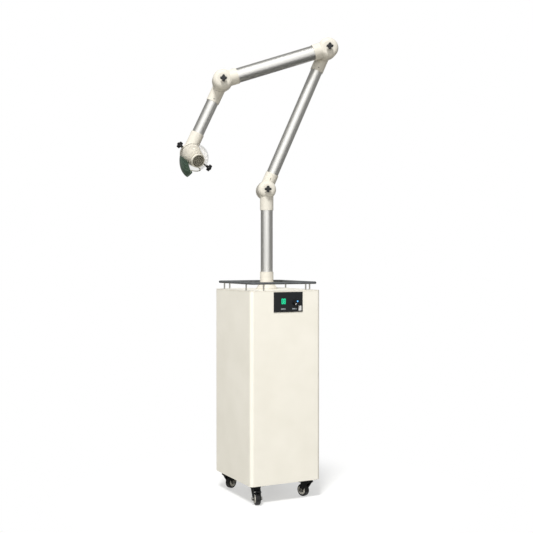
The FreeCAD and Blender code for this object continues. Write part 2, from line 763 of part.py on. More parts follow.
for corner, x_side, y_side, turn in CASTERS:
    spot = Vector(
        x_side * (size.cabinet_width / 2 - size.caster_inset_x),
        y_side * (size.cabinet_depth / 2 - size.caster_inset_y), 0)
    square = Placement(spot, UPRIGHT)
    swivel = Placement(spot, Rotation(Z_AXIS, turn))
    caster_plates.append(fuse(
        block_in(square, "caster_plate", "caster_plate", "caster_plate_thickness", (0, 0, plate_z)),
        rod("kingpin_radius", "kingpin_length", (0, 0, plate_z - size.kingpin_length), UPRIGHT, square)))
    fork_pieces, king_bore = fork(swivel)
    if corner.startswith("front"):
        fork_pieces.append(brake_pin(swivel))
        sub_part("caster_brake_" + corner, brake_pedal(swivel))
    sub_part("caster_fork_" + corner, cut(fuse(*fork_pieces), king_bore))
    tread = rounded(
        across_wheel(swivel, "wheel_radius", "tyre_width", -size.tyre_width / 2), size.tyre_round, is_circle)
    sub_part("caster_tyre_" + corner, cut(
        tread, across_wheel(swivel, "hub_radius", "tyre_width", -size.tyre_width / 2)))
    grooves = []
    for face in (-size.hub_width / 2, size.hub_width / 2 - size.hub_groove_depth):
        grooves.append(cut(
            across_wheel(swivel, "hub_groove_outer", "hub_groove_depth", face),
            across_wheel(swivel, "hub_groove_inner", "hub_groove_depth", face)))
    sub_part("caster_hub_" + corner, cut(
        across_wheel(swivel, "hub_radius", "hub_width", -size.hub_width / 2),
        across_wheel(swivel, "axle_radius + running", "hub_width", -size.hub_width / 2), *grooves))
sub_part("caster_plates", group(*caster_plates))

# Base flange that the post turns in, and the screws of the flange and the rear panel

neck_rise = "flange_height - flange_edge"
flange_foot = rod("flange_radius", "flange_edge", ("0", "0", CABINET_TOP))
flange_dome = solid(
    "Cone", ("0", "0", CABINET_TOP + " + flange_edge"),
    Radius1="flange_radius", Radius2="flange_neck_radius", Height=neck_rise)
flange_bore = rod(
    "tube_radius + running", "2*flange_height", ("0", "0", CABINET_TOP + " + flange_seat"))
flange_throat = rod("tube_radius - tube_wall", "2*flange_seat", ("0", "0", CABINET_TOP + " - flange_seat/2"))
FLANGE_SCREWS = 4
flange_screws = []
flange_pockets = []
flange_z = size.caster_height + size.cabinet_height
for i in range(FLANGE_SCREWS):
    angle = math.radians(45 + 360 * i / FLANGE_SCREWS)
    spot = Placement(
        Vector(math.cos(angle), math.sin(angle), 0) * size.flange_screw_circle + Z_AXIS * flange_z, UPRIGHT)
    seat = size.flange_edge - size.screw_head_height
    flange_pockets.append(rod(
        "screw_head_radius + clearance", "flange_height", (0, 0, seat), UPRIGHT, spot))
    flange_screws.append(rod("screw_head_radius", "screw_head_height", (0, 0, seat), UPRIGHT, spot))
sub_part("base_flange", cut(fuse(flange_foot, flange_dome), flange_bore, flange_throat, *flange_pockets))
rear_screws = [
    fuse(
        rod("screw_head_radius", "screw_head_height", (x, REAR + " + sheet_wall", z), ALONG_Y),
        rod("screw_radius", "sheet_wall", (x, REAR, z), ALONG_Y))
    for x, z in screw_places]
sub_part("cover_screws", group(*flange_screws, *rear_screws))

# Arm: every joint's seam lies in one upright plane, with arms in front of it and behind it in turn

swing = Rotation(Z_AXIS, size.arm_swivel)
back = swing.multVec(Y_AXIS)
half_depth = size.knuckle_depth / 2


def in_plane(degrees_from_up):
    """Direction in the arm's plane, leaning to the right of straight up."""
    angle = math.radians(degrees_from_up)
    return swing.multVec(Vector(math.sin(angle), 0, math.cos(angle)))


lower_way = in_plane(size.lower_arm_lean)
upper_way = in_plane(-90 - size.upper_arm_fall)
drop_way = in_plane(180 + size.drop_arm_lean)
joint_1 = back * half_depth + Z_AXIS * (flange_z + size.post_rise)
joint_2 = joint_1 + lower_way * size.lower_arm_length
joint_3 = joint_2 + upper_way * size.upper_arm_length
elbow = joint_3 + back * half_depth + drop_way * size.drop_arm_length

head_turn = math.radians(size.head_azimuth)
head_drop = math.radians(size.head_fall)
head_way = Vector(
    math.sin(head_turn) * math.cos(head_drop),
    -math.cos(head_turn) * math.cos(head_drop),
    -math.sin(head_drop))
joint_4 = elbow + head_way * size.hood_collar_rise


def casting(frame, tube_way, radius, depth, tube, reach, rounding, rise):
    """Hollow drum with a rounded pole, and a collar at a rise over the seam that takes a tube's end."""
    pole_way = frame.Rotation.multVec(Z_AXIS)
    deep = getattr(size, depth)
    lean = math.degrees(math.asin(max(-1, min(1, tube_way.dot(pole_way)))))
    along = Rotation(Y_AXIS, 90 - lean)
    middle = Vector(0, 0, rise)

    def is_pole_edge(edge):
        return is_circle(edge) and (edge.Curve.Center - frame.Base).dot(pole_way) > deep / 2

    def on_collar(radius_words, length_words, start):
        spot = middle + along.multVec(Z_AXIS) * start
        return rod(radius_words, length_words, tuple(spot), along, frame)

    drum = rounded(
        rod(radius, "%s - seam_gap/2" % depth, (0, 0, size.seam_gap / 2), UPRIGHT, frame),
        rounding, is_pole_edge)
    collar = on_collar("%s + collar_wall" % tube, reach, 0)
    heel = solid("Sphere", tuple(middle), UPRIGHT, frame, Radius="%s + collar_wall" % tube)
    hollow = rounded(
        rod("%s - knuckle_wall" % radius, "1.5*%s - knuckle_wall" % depth, (0, 0, -deep / 2), UPRIGHT, frame),
        rounding - size.knuckle_wall, is_pole_edge)
    heel_hollow = solid("Sphere", tuple(middle), UPRIGHT, frame, Radius="%s - tube_wall" % tube)
    bore = on_collar("%s - tube_wall" % tube, reach, 0)
    socket = on_collar(
        "%s + running" % tube, "2*socket_length", getattr(size, reach) - size.socket_length)
    return cut(fuse(drum, collar, heel), hollow, heel_hollow, bore, socket)


def knuckle(label, seam, pole_way, tube_way, radius, depth, tube, reach, threaded):
    """One half of a joint in the arm's plane, with a boss or a hole for the clamp knob's stud."""
    frame = frame_at(seam, pole_way, tube_way)
    deep = getattr(size, depth)
    wall = size.knuckle_wall
    half = casting(frame, tube_way, radius, depth, tube, reach, size.knuckle_round, deep / 2)
    if threaded:
        boss = rod(
            "nut_boss_radius", "nut_boss_length", (0, 0, deep - wall - size.nut_boss_length), UPRIGHT, frame)
        stud_hole = rod(
            "stud_radius + running", "nut_boss_length",
            (0, 0, deep - 2 * wall - size.nut_boss_length), UPRIGHT, frame)
        half = fuse(half, boss)
    else:
        stud_hole = rod("stud_radius + running", "3*knuckle_wall", (0, 0, deep - 2 * wall), UPRIGHT, frame)
    sub_part(label, cut(half, stud_hole))


def tube(label, start, way, length, radius, from_reach, to_reach):
    """Round tube between the sockets of two knuckles."""
    first = getattr(size, from_reach) - size.socket_length
    frame = frame_at(start + way * first, way, back)
    span = "%s - %s - %s + 2*socket_length" % (length, from_reach, to_reach)
    sub_part(label, cut(
        rod(radius, span, (0, 0, 0), UPRIGHT, frame),
        rod("%s - tube_wall" % radius, span, (0, 0, 0), UPRIGHT, frame)))


def star_knob(label, frame, stud, stud_length):
    """Four-lobed head on a neck, in one piece with its threaded stud. Its seat is the frame's origin."""
    neck = rod("knob_neck_radius", "knob_neck", (0, 0, size.clearance), UPRIGHT, frame)
    head_z = size.clearance + size.knob_neck
    head = [rounded(
        rod("knob_hub_radius", "knob_height", (0, 0, head_z), UPRIGHT, frame), size.knob_round, is_circle)]
    for x, y in ((1, 0), (0, 1), (-1, 0), (0, -1)):
        lobe = rod(
            "knob_lobe_radius", "knob_height",
            (x * size.knob_lobe_circle, y * size.knob_lobe_circle, head_z), UPRIGHT, frame)
        head.append(rounded(lobe, size.knob_round, is_circle))
    length = rod(stud, stud_length, (0, 0, 0), UPRIGHT, frame)
    doc.recompute([length])
    stud_bottom = size.clearance - length.Height.Value
    length.Placement = frame.multiply(Placement(Vector(0, 0, stud_bottom), UPRIGHT))
    sub_part(label, fuse(neck, *head, length))


def joint_knob(label, seam, pole_way, lobe_way, depth):
    """Clamp knob of a joint: its stud runs through the near half into the far half's boss."""
    seat = frame_at(seam + pole_way * getattr(size, depth), pole_way, lobe_way)
    star_knob(label, seat, "stud_radius", "%s + knuckle_depth - 3*knuckle_wall" % depth)


NORMAL = ("knuckle_radius", "knuckle_depth", "tube_radius")
LARGE = ("upper_knuckle_radius", "upper_knuckle_depth", "upper_tube_radius")
front = back * -1
up = Vector(Z_AXIS)
down = up * -1

collar_z = CABINET_TOP + " + flange_height + clearance"
sub_part("base_collar", cut(
    rod("base_collar_radius", "base_collar_height", ("0", "0", collar_z)),
    rod("tube_radius + running", "base_collar_height", ("0", "0", collar_z))))
POST_FOOT = CABINET_TOP + " + flange_seat + clearance"
POST_SPAN = "post_rise - post_reach + socket_length - flange_seat - clearance"
sub_part("post_tube", cut(
    rod("tube_radius", POST_SPAN, ("0", "0", POST_FOOT)),
    rod("tube_radius - tube_wall", POST_SPAN, ("0", "0", POST_FOOT))))
knuckle("post_knuckle", joint_1, front, down, *NORMAL, "post_reach", False)

knuckle("lower_arm_bottom_knuckle", joint_1, back, lower_way, *NORMAL, "lower_near_reach", True)
tube("lower_arm_tube", joint_1 + back * half_depth, lower_way, "lower_arm_length", "tube_radius",
     "lower_near_reach", "lower_far_reach")
knuckle("lower_arm_top_knuckle", joint_2, back, lower_way * -1, *NORMAL, "lower_far_reach", True)

knuckle("upper_arm_right_knuckle", joint_2, front, upper_way, *LARGE, "upper_reach", False)
tube("upper_arm_tube", joint_2 + front * (size.upper_knuckle_depth / 2), upper_way, "upper_arm_length",
     "upper_tube_radius", "upper_reach", "upper_reach")
knuckle("upper_arm_left_knuckle", joint_3, front, upper_way * -1, *LARGE, "upper_reach", False)

knuckle("drop_arm_top_knuckle", joint_3, back, drop_way, *NORMAL, "drop_near_reach", True)
tube("drop_arm_tube", joint_3 + back * half_depth, drop_way, "drop_arm_length", "tube_radius",
     "drop_near_reach", "drop_far_reach")

joint_knob("post_joint_knob", joint_1, front, up, "knuckle_depth")
joint_knob("elbow_joint_knob", joint_2, front, up, "upper_knuckle_depth")
joint_knob("wrist_joint_knob", joint_3, front, up, "upper_knuckle_depth")

# Hood: a hollow cone that turns on a spigot in the last knuckle and ends in a ringed grille,
# and a clear shroud that turns round the cone's end

hood_centre = joint_4 + head_way * size.hood_offset
hood = frame_at(hood_centre, head_way, down)


def hood_way(latitude, longitude):
    """Direction from the hood's centre, in degrees from its equator and from straight below."""
    rise = math.radians(latitude)
    turn = math.radians(longitude)
    return hood.Rotation.multVec(Vector(
        math.cos(rise) * math.cos(turn), math.cos(rise) * math.sin(turn), math.sin(rise)))


last_half = frame_at(joint_4, head_way * -1, drop_way * -1)
screw_way = hood_way(0, size.hood_screw_longitude)
screw_level = joint_4 - head_way * size.hood_screw_rise
screw = frame_at(screw_level, screw_way, head_way)
screw_seat = size.hood_knuckle_radius + size.hood_boss_height
screw_boss = rod(
    "hood_boss_radius", "hood_boss_height + knuckle_wall/2",
    (0, 0, size.hood_knuckle_radius - size.knuckle_wall / 2), UPRIGHT, screw)
screw_hole = rod(
    "clamp_stud_radius + running", "hood_boss_height + 2*knuckle_wall",
    (0, 0, size.hood_knuckle_radius - 1.5 * size.knuckle_wall), UPRIGHT, screw)
sub_part("drop_arm_bottom_knuckle", cut(
    fuse(casting(
        last_half, drop_way * -1, "hood_knuckle_radius", "hood_knuckle_depth", "tube_radius",
        "drop_far_reach", size.hood_knuckle_round, size.hood_collar_rise), screw_boss), screw_hole))
star_knob("hood_joint_knob", Placement(screw_level + screw_way * screw_seat, screw.Rotation),
          "clamp_stud_radius", "hood_boss_height + knuckle_wall + clearance")

rim = size.seam_gap / 2 - size.hood_offset
hub_top = size.hood_cone_height + size.hood_hub_height
SPIGOT_RADIUS = "hood_knuckle_radius - knuckle_wall - running"
CONE_HEIGHT = "hood_cone_height + hood_offset - seam_gap/2"
cone = solid("Cone", (0, 0, rim), UPRIGHT, hood,
             Radius1="hood_knuckle_radius", Radius2="hood_end_radius", Height=CONE_HEIGHT)
cone_hollow = solid("Cone", (0, 0, rim), UPRIGHT, hood, Radius1="%s - hood_wall" % SPIGOT_RADIUS,
                    Radius2="grille_radius - grille_ledge", Height=CONE_HEIGHT)
spigot = rod(SPIGOT_RADIUS, "hood_spigot", (0, 0, rim - size.hood_spigot), UPRIGHT, hood)
spigot_hollow = rod(
    "%s - hood_wall" % SPIGOT_RADIUS, "hood_spigot", (0, 0, rim - size.hood_spigot), UPRIGHT, hood)
hub = rod("hood_hub_radius", "hood_hub_height", (0, 0, size.hood_cone_height), UPRIGHT, hood)
hub_hollow = rod(
    "grille_radius - grille_ledge", "hood_hub_height", (0, 0, size.hood_cone_height), UPRIGHT, hood)
grille_z = hub_top - size.grille_depth
grille_seat = rod("grille_radius", "2*grille_depth", (0, 0, grille_z), UPRIGHT, hood)
sub_part("hood_body", cut(
    fuse(cone, spigot, hub), cone_hollow, spigot_hollow, hub_hollow, grille_seat))

grille = [
    block_in(hood, "2*grille_radius - grille_ledge", "grille_spoke", "grille_depth/2", (0, 0, grille_z)),
    block_in(hood, "grille_spoke", "2*grille_radius - grille_ledge", "grille_depth/2", (0, 0, grille_z)),
    rod("grille_radius*0.16", "grille_depth", (0, 0, grille_z), UPRIGHT, hood)]
for outside, inside in ((1, 0.87), (0.73, 0.6), (0.45, 0.32)):
    grille.append(cut(
        rod("grille_radius*%g" % outside, "grille_depth", (0, 0, grille_z), UPRIGHT, hood),
        rod("grille_radius*%g" % inside, "grille_depth", (0, 0, grille_z), UPRIGHT, hood)))
sub_part("intake_grille", fuse(*grille))

shroud_top = math.sin(math.radians(size.shroud_top)) * size.shroud_radius
zone = solid(
    "Sphere", None, UPRIGHT, hood, Radius="shroud_radius", Angle1="-shroud_skirt", Angle2="shroud_top")
zone_inside = solid("Sphere", None, UPRIGHT, hood, Radius="shroud_radius - shroud_wall")
collar_disc = rod(
    "shroud_radius*cos(shroud_top*1deg)", "shroud_wall", (0, 0, shroud_top - size.shroud_wall), UPRIGHT, hood)
hub_hole = rod(
    "hood_hub_radius + clearance", "2*shroud_radius", (0, 0, 0), UPRIGHT, hood)
mouth_cut = rod(
    "2*shroud_radius", "shroud_radius", (size.shroud_mouth, 0, 0), ALONG_X, hood)
clamp_way = hood_way(size.clamp_latitude, size.clamp_longitude)
clamp = frame_at(hood_centre, clamp_way, head_way)
clamp_boss = rod(
    "clamp_boss_radius", "shroud_wall + clamp_boss_height",
    (0, 0, size.shroud_radius - size.shroud_wall), UPRIGHT, clamp)
clamp_hole = rod("clamp_stud_radius + running", "2*shroud_radius", (0, 0, 0), UPRIGHT, clamp)
sub_part("shroud", cut(
    fuse(cut(zone, zone_inside), collar_disc, clamp_boss), hub_hole, mouth_cut, clamp_hole))

clamp_seat = Placement(
    hood_centre + clamp_way * (size.shroud_radius + size.clamp_boss_height), clamp.Rotation)
star_knob("shroud_clamp_knob", clamp_seat, "clamp_stud_radius",
          "shroud_radius + clamp_boss_height + clearance - clamp_reach")

lip_outside = solid(
    "Ellipsoid", None, UPRIGHT, hood, Radius1="shroud_radius + clearance + lip_wall",
    Radius2="lip_reach", Radius3="shroud_radius + clearance + lip_wall")
lip_inside = solid(
    "Ellipsoid", None, UPRIGHT, hood, Radius1="shroud_radius + clearance",
    Radius2="lip_reach - lip_wall", Radius3="shroud_radius + clearance")
lip_depth = block_in(
    hood, "2*lip_reach", "2*lip_reach", "lip_back + lip_front", (0, 0, -size.lip_back))
lip_edge = block_in(
    frame_at(hood_centre, hood_way(size.lip_edge_latitude, size.lip_edge_longitude), head_way),
    "2*lip_reach", "2*lip_reach", "lip_reach", (0, 0, size.lip_edge))
lip_end = block_in(
    frame_at(hood_centre, hood_way(size.lip_end_latitude, size.lip_end_longitude), head_way),
    "2*lip_reach", "2*lip_reach", "lip_reach", (0, 0, size.lip_end))
lip_tip = block_in(
    frame_at(hood_centre, hood_way(size.lip_tip_latitude, size.lip_tip_longitude), head_way),
    "3*lip_reach", "3*lip_reach", "lip_reach", (0, 0, size.lip_tip))
sub_part("shroud_lip", cut(common(
    cut(lip_outside, lip_inside), common(lip_depth, common(lip_edge, lip_end))), lip_tip))

# Build, test and write every piece

doc.recompute()
for obj in doc.Objects:
    if "Invalid" in obj.State or "Error" in obj.State:
        raise RuntimeError("failed: %s (%s)" % (obj.Label, obj.Name))
os.makedirs("parts", exist_ok=True)
for obj in sub_parts:
    shape = obj.Shape
    if shape.isNull() or not shape.isValid() or not shape.Solids:
        raise RuntimeError("bad shape: " + obj.Label)
for obj in sub_parts:
    obj.Shape.exportStep("parts/%s.step" % obj.Label)
for name, point in (("joint_1", joint_1), ("joint_2", joint_2), ("joint_3", joint_3), ("joint_4", joint_4),
                    ("hood_centre", hood_centre), ("head_way", head_way), ("clamp_way", clamp_way),
                    ("screw_level", screw_level), ("screw_way", screw_way)):
    print(name, [round(c, 4) for c in point])
print("pieces:", len(sub_parts))
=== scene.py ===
import json
import math

import bmesh
import bpy
from mathutils import Matrix, Vector


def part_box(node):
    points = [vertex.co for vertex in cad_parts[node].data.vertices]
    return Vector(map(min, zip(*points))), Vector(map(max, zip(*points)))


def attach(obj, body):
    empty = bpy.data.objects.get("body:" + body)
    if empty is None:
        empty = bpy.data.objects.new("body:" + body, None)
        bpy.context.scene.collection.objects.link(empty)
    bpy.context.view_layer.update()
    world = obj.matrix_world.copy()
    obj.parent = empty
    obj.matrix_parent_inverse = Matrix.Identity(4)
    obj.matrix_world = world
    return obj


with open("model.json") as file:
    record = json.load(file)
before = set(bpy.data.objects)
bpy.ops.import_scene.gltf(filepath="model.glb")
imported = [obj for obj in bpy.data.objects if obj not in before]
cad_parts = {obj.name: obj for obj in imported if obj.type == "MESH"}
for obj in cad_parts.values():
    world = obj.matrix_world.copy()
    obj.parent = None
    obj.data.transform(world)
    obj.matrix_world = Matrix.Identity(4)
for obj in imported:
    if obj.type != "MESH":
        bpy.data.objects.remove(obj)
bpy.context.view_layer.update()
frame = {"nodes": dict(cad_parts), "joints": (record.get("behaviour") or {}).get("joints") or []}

# Cabinet: a wrapped sheet-steel shell on a folded base, with a thin top plate over a shadow gap
# and a screwed rear cover. All of it is powder coated in one cream gloss after folding.


def linear(hex_colour):
    """sRGB hex to linear RGBA."""
    channels = [int(hex_colour[i:i + 2], 16) / 255 for i in (0, 2, 4)]
    return [c / 12.92 if c <= 0.04045 else ((c + 0.055) / 1.055) ** 2.4 for c in channels] + [1.0]


def finish(name, **constants):
    """New material and its shader, with what is the same all over the surface set on the sockets."""
    material = bpy.data.materials.new(name)
    material.use_nodes = True
    shader = material.node_tree.nodes["Principled BSDF"]
    for socket, value in constants.items():
        shader.inputs[socket.replace("_", " ")].default_value = value
    return material, shader


def add(material, kind, links, inputs=None, stops=(), **settings):
    """One node with its settings, its input values, a ramp's (position, hex) stops and what feeds it."""
    node = material.node_tree.nodes.new("ShaderNode" + kind)
    for name, value in settings.items():
        setattr(node, name, value)
    for element, (position, hex_colour) in zip(node.color_ramp.elements if stops else (), stops):
        element.position = position
        element.color = linear(hex_colour)
    for socket, value in (inputs or {}).items():
        node.inputs[socket].default_value = value
    for socket, source in links.items():
        material.node_tree.links.new(source, node.inputs[socket])
    return node


def dress(material, *nodes):
    """Gives CAD nodes their finish."""
    for name in nodes:
        slots = frame["nodes"][name].data.materials
        slots.clear()
        slots.append(material)


# Cream powder coat: a baked polyester film with a faint orange peel about 2 mm across and a soft
# gloss. Its tone wanders a little over a hand's width, as a sprayed film does.
powder_coat, shader = finish("cream_powder_coat", IOR=1.5, Specular_IOR_Level=0.4)
spot = add(powder_coat, "TexCoord", {}).outputs["Object"]
drift = add(powder_coat, "TexNoise", {"Vector": spot}, {"Scale": 1 / 0.12, "Detail": 2.0})
peel = add(powder_coat, "TexNoise", {"Vector": spot}, {"Scale": 1 / 0.002, "Detail": 1.0})
gloss = add(powder_coat, "MapRange", {"Value": drift.outputs["Fac"]}, {"To Min": 0.36, "To Max": 0.46})
relief = add(powder_coat, "Bump", {"Height": peel.outputs["Fac"]}, {"Strength": 0.12, "Distance": 0.0001})
links = powder_coat.node_tree.links
tone = add(powder_coat, "ValToRGB", {"Fac": drift.outputs["Fac"]}, stops=((0.3, "EFEBDF"), (0.7, "F4F0E5")))
links.new(tone.outputs["Color"], shader.inputs["Base Color"])
links.new(gloss.outputs["Result"], shader.inputs["Roughness"])
links.new(relief.outputs["Normal"], shader.inputs["Normal"])
dress(powder_coat, "cabinet_shell", "base_plate", "top_plate", "rear_panel")

# Guard rail: one loop of bent round bar on slender posts, which stand on the top plate. The loop is
# coated dark grey, and the posts are bare turned steel.
rail_coat, shader = finish("grey_rail_coat", IOR=1.5)
spot = add(rail_coat, "TexCoord", {}).outputs["Object"]
drift = add(rail_coat, "TexNoise", {"Vector": spot}, {"Scale": 1 / 0.03, "Detail": 3.0})
gloss = add(rail_coat, "MapRange", {"Value": drift.outputs["Fac"]}, {"To Min": 0.3, "To Max": 0.42})
links = rail_coat.node_tree.links
tone = add(rail_coat, "ValToRGB", {"Fac": drift.outputs["Fac"]}, stops=((0.3, "4F5254"), (0.7, "5D6062")))
links.new(tone.outputs["Color"], shader.inputs["Base Color"])
links.new(gloss.outputs["Result"], shader.inputs["Roughness"])
dress(rail_coat, "guard_rail")

# Turned steel: satin and slightly warm, with fine lathe rings 0.8 mm apart up the bar. A wave node's
# bands lie a tenth of pi apart at scale 1, so a spacing becomes a scale through that.
WAVE_SPAN = math.pi / 10
turned_steel, shader = finish("turned_steel", Metallic=1.0)
spot = add(turned_steel, "TexCoord", {}).outputs["Object"]
rings = add(turned_steel, "TexWave", {"Vector": spot}, {"Scale": WAVE_SPAN / 0.0008, "Distortion": 1.0},
            wave_type="BANDS", bands_direction="Z")
gloss = add(turned_steel, "MapRange", {"Value": rings.outputs["Fac"]}, {"To Min": 0.26, "To Max": 0.38})
links = turned_steel.node_tree.links
tone = add(turned_steel, "ValToRGB", {"Fac": rings.outputs["Fac"]},
           stops=((0.2, "A9A7A2"), (0.8, "BDBBB6")))
links.new(tone.outputs["Color"], shader.inputs["Base Color"])
links.new(gloss.outputs["Result"], shader.inputs["Roughness"])
dress(turned_steel, "rail_posts", "cover_screws", "caster_plates")

# Control panel: a black polycarbonate plate set in the cabinet's front, printed from behind, with its
# circuit board on bosses. A fine grain of about 1.5 mm keeps its gloss soft.
panel_film, shader = finish("black_panel_film", IOR=1.58)
spot = add(panel_film, "TexCoord", {}).outputs["Object"]
grain = add(panel_film, "TexNoise", {"Vector": spot}, {"Scale": 1 / 0.0015, "Detail": 2.0})
gloss = add(panel_film, "MapRange", {"Value": grain.outputs["Fac"]}, {"To Min": 0.28, "To Max": 0.4})
links = panel_film.node_tree.links
tone = add(panel_film, "ValToRGB", {"Fac": grain.outputs["Fac"]}, stops=((0.3, "14171A"), (0.7, "1B1E21")))
links.new(tone.outputs["Color"], shader.inputs["Base Color"])
links.new(gloss.outputs["Result"], shader.inputs["Roughness"])
dress(panel_film, "control_panel")

# Circuit board: green solder mask over copper tracks 1.2 mm wide, which show as a lighter green. It
# is behind the panel and shows only where a cover is off.
solder_mask, shader = finish("green_solder_mask", IOR=1.5, Roughness=0.35)
spot = add(solder_mask, "TexCoord", {}).outputs["Object"]
tracks = add(solder_mask, "TexBrick", {"Vector": spot}, {
    "Scale": 1 / 0.012, "Mortar Size": 0.05, "Color1": linear("1E5B38"), "Color2": linear("215F3C"),
    "Mortar": linear("3C8157")})
solder_mask.node_tree.links.new(tracks.outputs["Color"], shader.inputs["Base Color"])
dress(solder_mask, "control_board")


def piece(name, mesh, material, body):
    """Makes a bmesh one piece of the object, shaded smooth up to 35 degrees."""
    bmesh.ops.recalc_face_normals(mesh, faces=mesh.faces)
    data = bpy.data.meshes.new(name)
    mesh.to_mesh(data)
    mesh.free()
    data.shade_smooth()
    data.set_sharp_from_angle(angle=math.radians(35))
    data.materials.append(material)
    made = bpy.data.objects.new(name, data)
    bpy.context.scene.collection.objects.link(made)
    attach(made, body)
    return made


def slab(mesh, size, centre, edge):
    """Adds a block with rounded edges to a bmesh."""
    shape = bmesh.ops.create_cube(
        mesh, size=1, matrix=Matrix.Translation(centre) @ Matrix.Diagonal((*size, 1)))
    edges = {e for v in shape["verts"] for e in v.link_edges}
    bmesh.ops.bevel(
        mesh, geom=list(edges), offset=edge, affect="EDGES", segments=2, profile=0.5, material=-1)


# Screen ink: pale grey, slightly uneven where the mesh of the screen printed it. The two bars stand
# under the display and the dial in place of words.
screen_ink, shader = finish("grey_screen_ink", IOR=1.5, Roughness=0.6)
spot = add(screen_ink, "TexCoord", {}).outputs["Object"]
weave = add(screen_ink, "TexNoise", {"Vector": spot}, {"Scale": 1 / 0.0008})
tone = add(screen_ink, "ValToRGB", {"Fac": weave.outputs["Fac"]}, stops=((0.3, "838B8F"), (0.7, "9DA4A7")))
screen_ink.node_tree.links.new(tone.outputs["Color"], shader.inputs["Base Color"])
panel_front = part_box("control_panel")[0].y
INK_DEPTH = 0.0002
BAR_SIZE = (0.021, INK_DEPTH, 0.0045)
BAR_HEIGHT = 0.7725
bars = bmesh.new()
for bar_x in (-0.0145, 0.0365):
    slab(bars, BAR_SIZE, (bar_x, panel_front - INK_DEPTH / 4, BAR_HEIGHT), 0.00006)
piece("panel_bars", bars, screen_ink, "cabinet")

# Display: a dark green window set in the panel over the circuit board. It is faintly lit from behind,
# so its ground glows a little.
display_glow, shader = finish("dark_green_window", IOR=1.5, Roughness=0.25, Emission_Strength=0.3)
spot = add(display_glow, "TexCoord", {}).outputs["Object"]
cells = add(display_glow, "TexNoise", {"Vector": spot}, {"Scale": 1 / 0.004})
glow = add(display_glow, "ValToRGB", {"Fac": cells.outputs["Fac"]},
           stops=((0.35, "085A42"), (0.65, "0C6B50"))).outputs["Color"]
display_glow.node_tree.links.new(glow, shader.inputs["Base Color"])
display_glow.node_tree.links.new(glow, shader.inputs["Emission Color"])
dress(display_glow, "display_window")

# Figures: light pipes of clear green acrylic, which stand a little proud of the window and glow bright
# on their dark ground. They show the plain number 08.
figure_glow, shader = finish("bright_green_figures", IOR=1.5, Roughness=0.3, Emission_Strength=0.6)
spot = add(figure_glow, "TexCoord", {}).outputs["Object"]
cells = add(figure_glow, "TexNoise", {"Vector": spot}, {"Scale": 1 / 0.003})
glow = add(figure_glow, "ValToRGB", {"Fac": cells.outputs["Fac"]},
           stops=((0.35, "14BE86"), (0.65, "2AD79C"))).outputs["Color"]
figure_glow.node_tree.links.new(glow, shader.inputs["Base Color"])
figure_glow.node_tree.links.new(glow, shader.inputs["Emission Color"])
window_low, window_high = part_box("display_window")
window = (window_low + window_high) / 2
FIGURE_WIDTH = 0.0058
FIGURE_HEIGHT = 0.0185
FIGURE_SHIFT = 0.0048
FIGURE_DEPTH = 0.0004
STROKE = 0.0024
SEGMENTS = {
    "a": (0, 0.5, True), "g": (0, 0, True), "d": (0, -0.5, True),
    "f": (-0.5, 0.25, False), "b": (0.5, 0.25, False), "e": (-0.5, -0.25, False), "c": (0.5, -0.25, False),
}
figures = bmesh.new()
for shift, lit in ((-FIGURE_SHIFT, "abcdef"), (FIGURE_SHIFT, "abcdefg")):
    for across, up, level in (SEGMENTS[letter] for letter in lit):
        width, height = (FIGURE_WIDTH, STROKE) if level else (STROKE, FIGURE_HEIGHT / 2)
        place = (window.x + shift + across * FIGURE_WIDTH, window_low.y - FIGURE_DEPTH / 4,
                 window.z + up * FIGURE_HEIGHT)
        slab(figures, (width, FIGURE_DEPTH, height), place, 0.00015)
piece("display_figures", figures, figure_glow, "cabinet")

# Dial: a ribbed black nylon knob on the board's shaft. A white paint mark and a blue light pipe show
# where it is set.
moulded_black, shader = finish("moulded_black_nylon", IOR=1.53)
spot = add(moulded_black, "TexCoord", {}).outputs["Object"]
spark = add(moulded_black, "TexVoronoi", {"Vector": spot}, {"Scale": 1 / 0.0009})
gloss = add(moulded_black, "MapRange", {"Value": spark.outputs["Distance"]},
            {"To Min": 0.36, "To Max": 0.52})
relief = add(moulded_black, "Bump", {"Height": spark.outputs["Distance"]},
             {"Strength": 0.2, "Distance": 0.0001})
links = moulded_black.node_tree.links
tone = add(moulded_black, "ValToRGB", {"Fac": spark.outputs["Distance"]},
           stops=((0.1, "0D0E0F"), (0.7, "17181A")))
links.new(tone.outputs["Color"], shader.inputs["Base Color"])
links.new(gloss.outputs["Result"], shader.inputs["Roughness"])
links.new(relief.outputs["Normal"], shader.inputs["Normal"])
dress(moulded_black, "control_dial", "mains_inlet", "rocker_switch")

# Dial mark: a stroke of white paint near the dial's rim, brushed on by hand, so that its white is a
# little uneven. It turns with the dial.
mark_paint, shader = finish("white_mark_paint", IOR=1.5, Roughness=0.45)
spot = add(mark_paint, "TexCoord", {}).outputs["Object"]
brush = add(mark_paint, "TexNoise", {"Vector": spot}, {"Scale": 1 / 0.001})
tone = add(mark_paint, "ValToRGB", {"Fac": brush.outputs["Fac"]}, stops=((0.3, "DCDCDA"), (0.7, "EFEFEC")))
mark_paint.node_tree.links.new(tone.outputs["Color"], shader.inputs["Base Color"])
joints = {joint["name"]: joint for joint in frame["joints"]}
dial = Vector(joints["dial_turn"]["pos_m"])
dial.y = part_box("control_dial")[0].y
TICK_SIZE = (0.0024, 0.0006, 0.007)
tick_place = dial + Vector((-0.0036, -0.0001, -0.0062))
tick = bmesh.new()
slab(tick, TICK_SIZE, (0, 0, 0), 0.00015)
bmesh.ops.transform(tick, verts=tick.verts, matrix=Matrix.Translation(tick_place)
                    @ Matrix.Rotation(math.radians(30), 4, "Y"))
piece("dial_tick", tick, mark_paint, "control_dial")

# Dial light: a small domed lens of clear acrylic over a blue lamp, pressed into the dial's face on the
# other side from the mark.


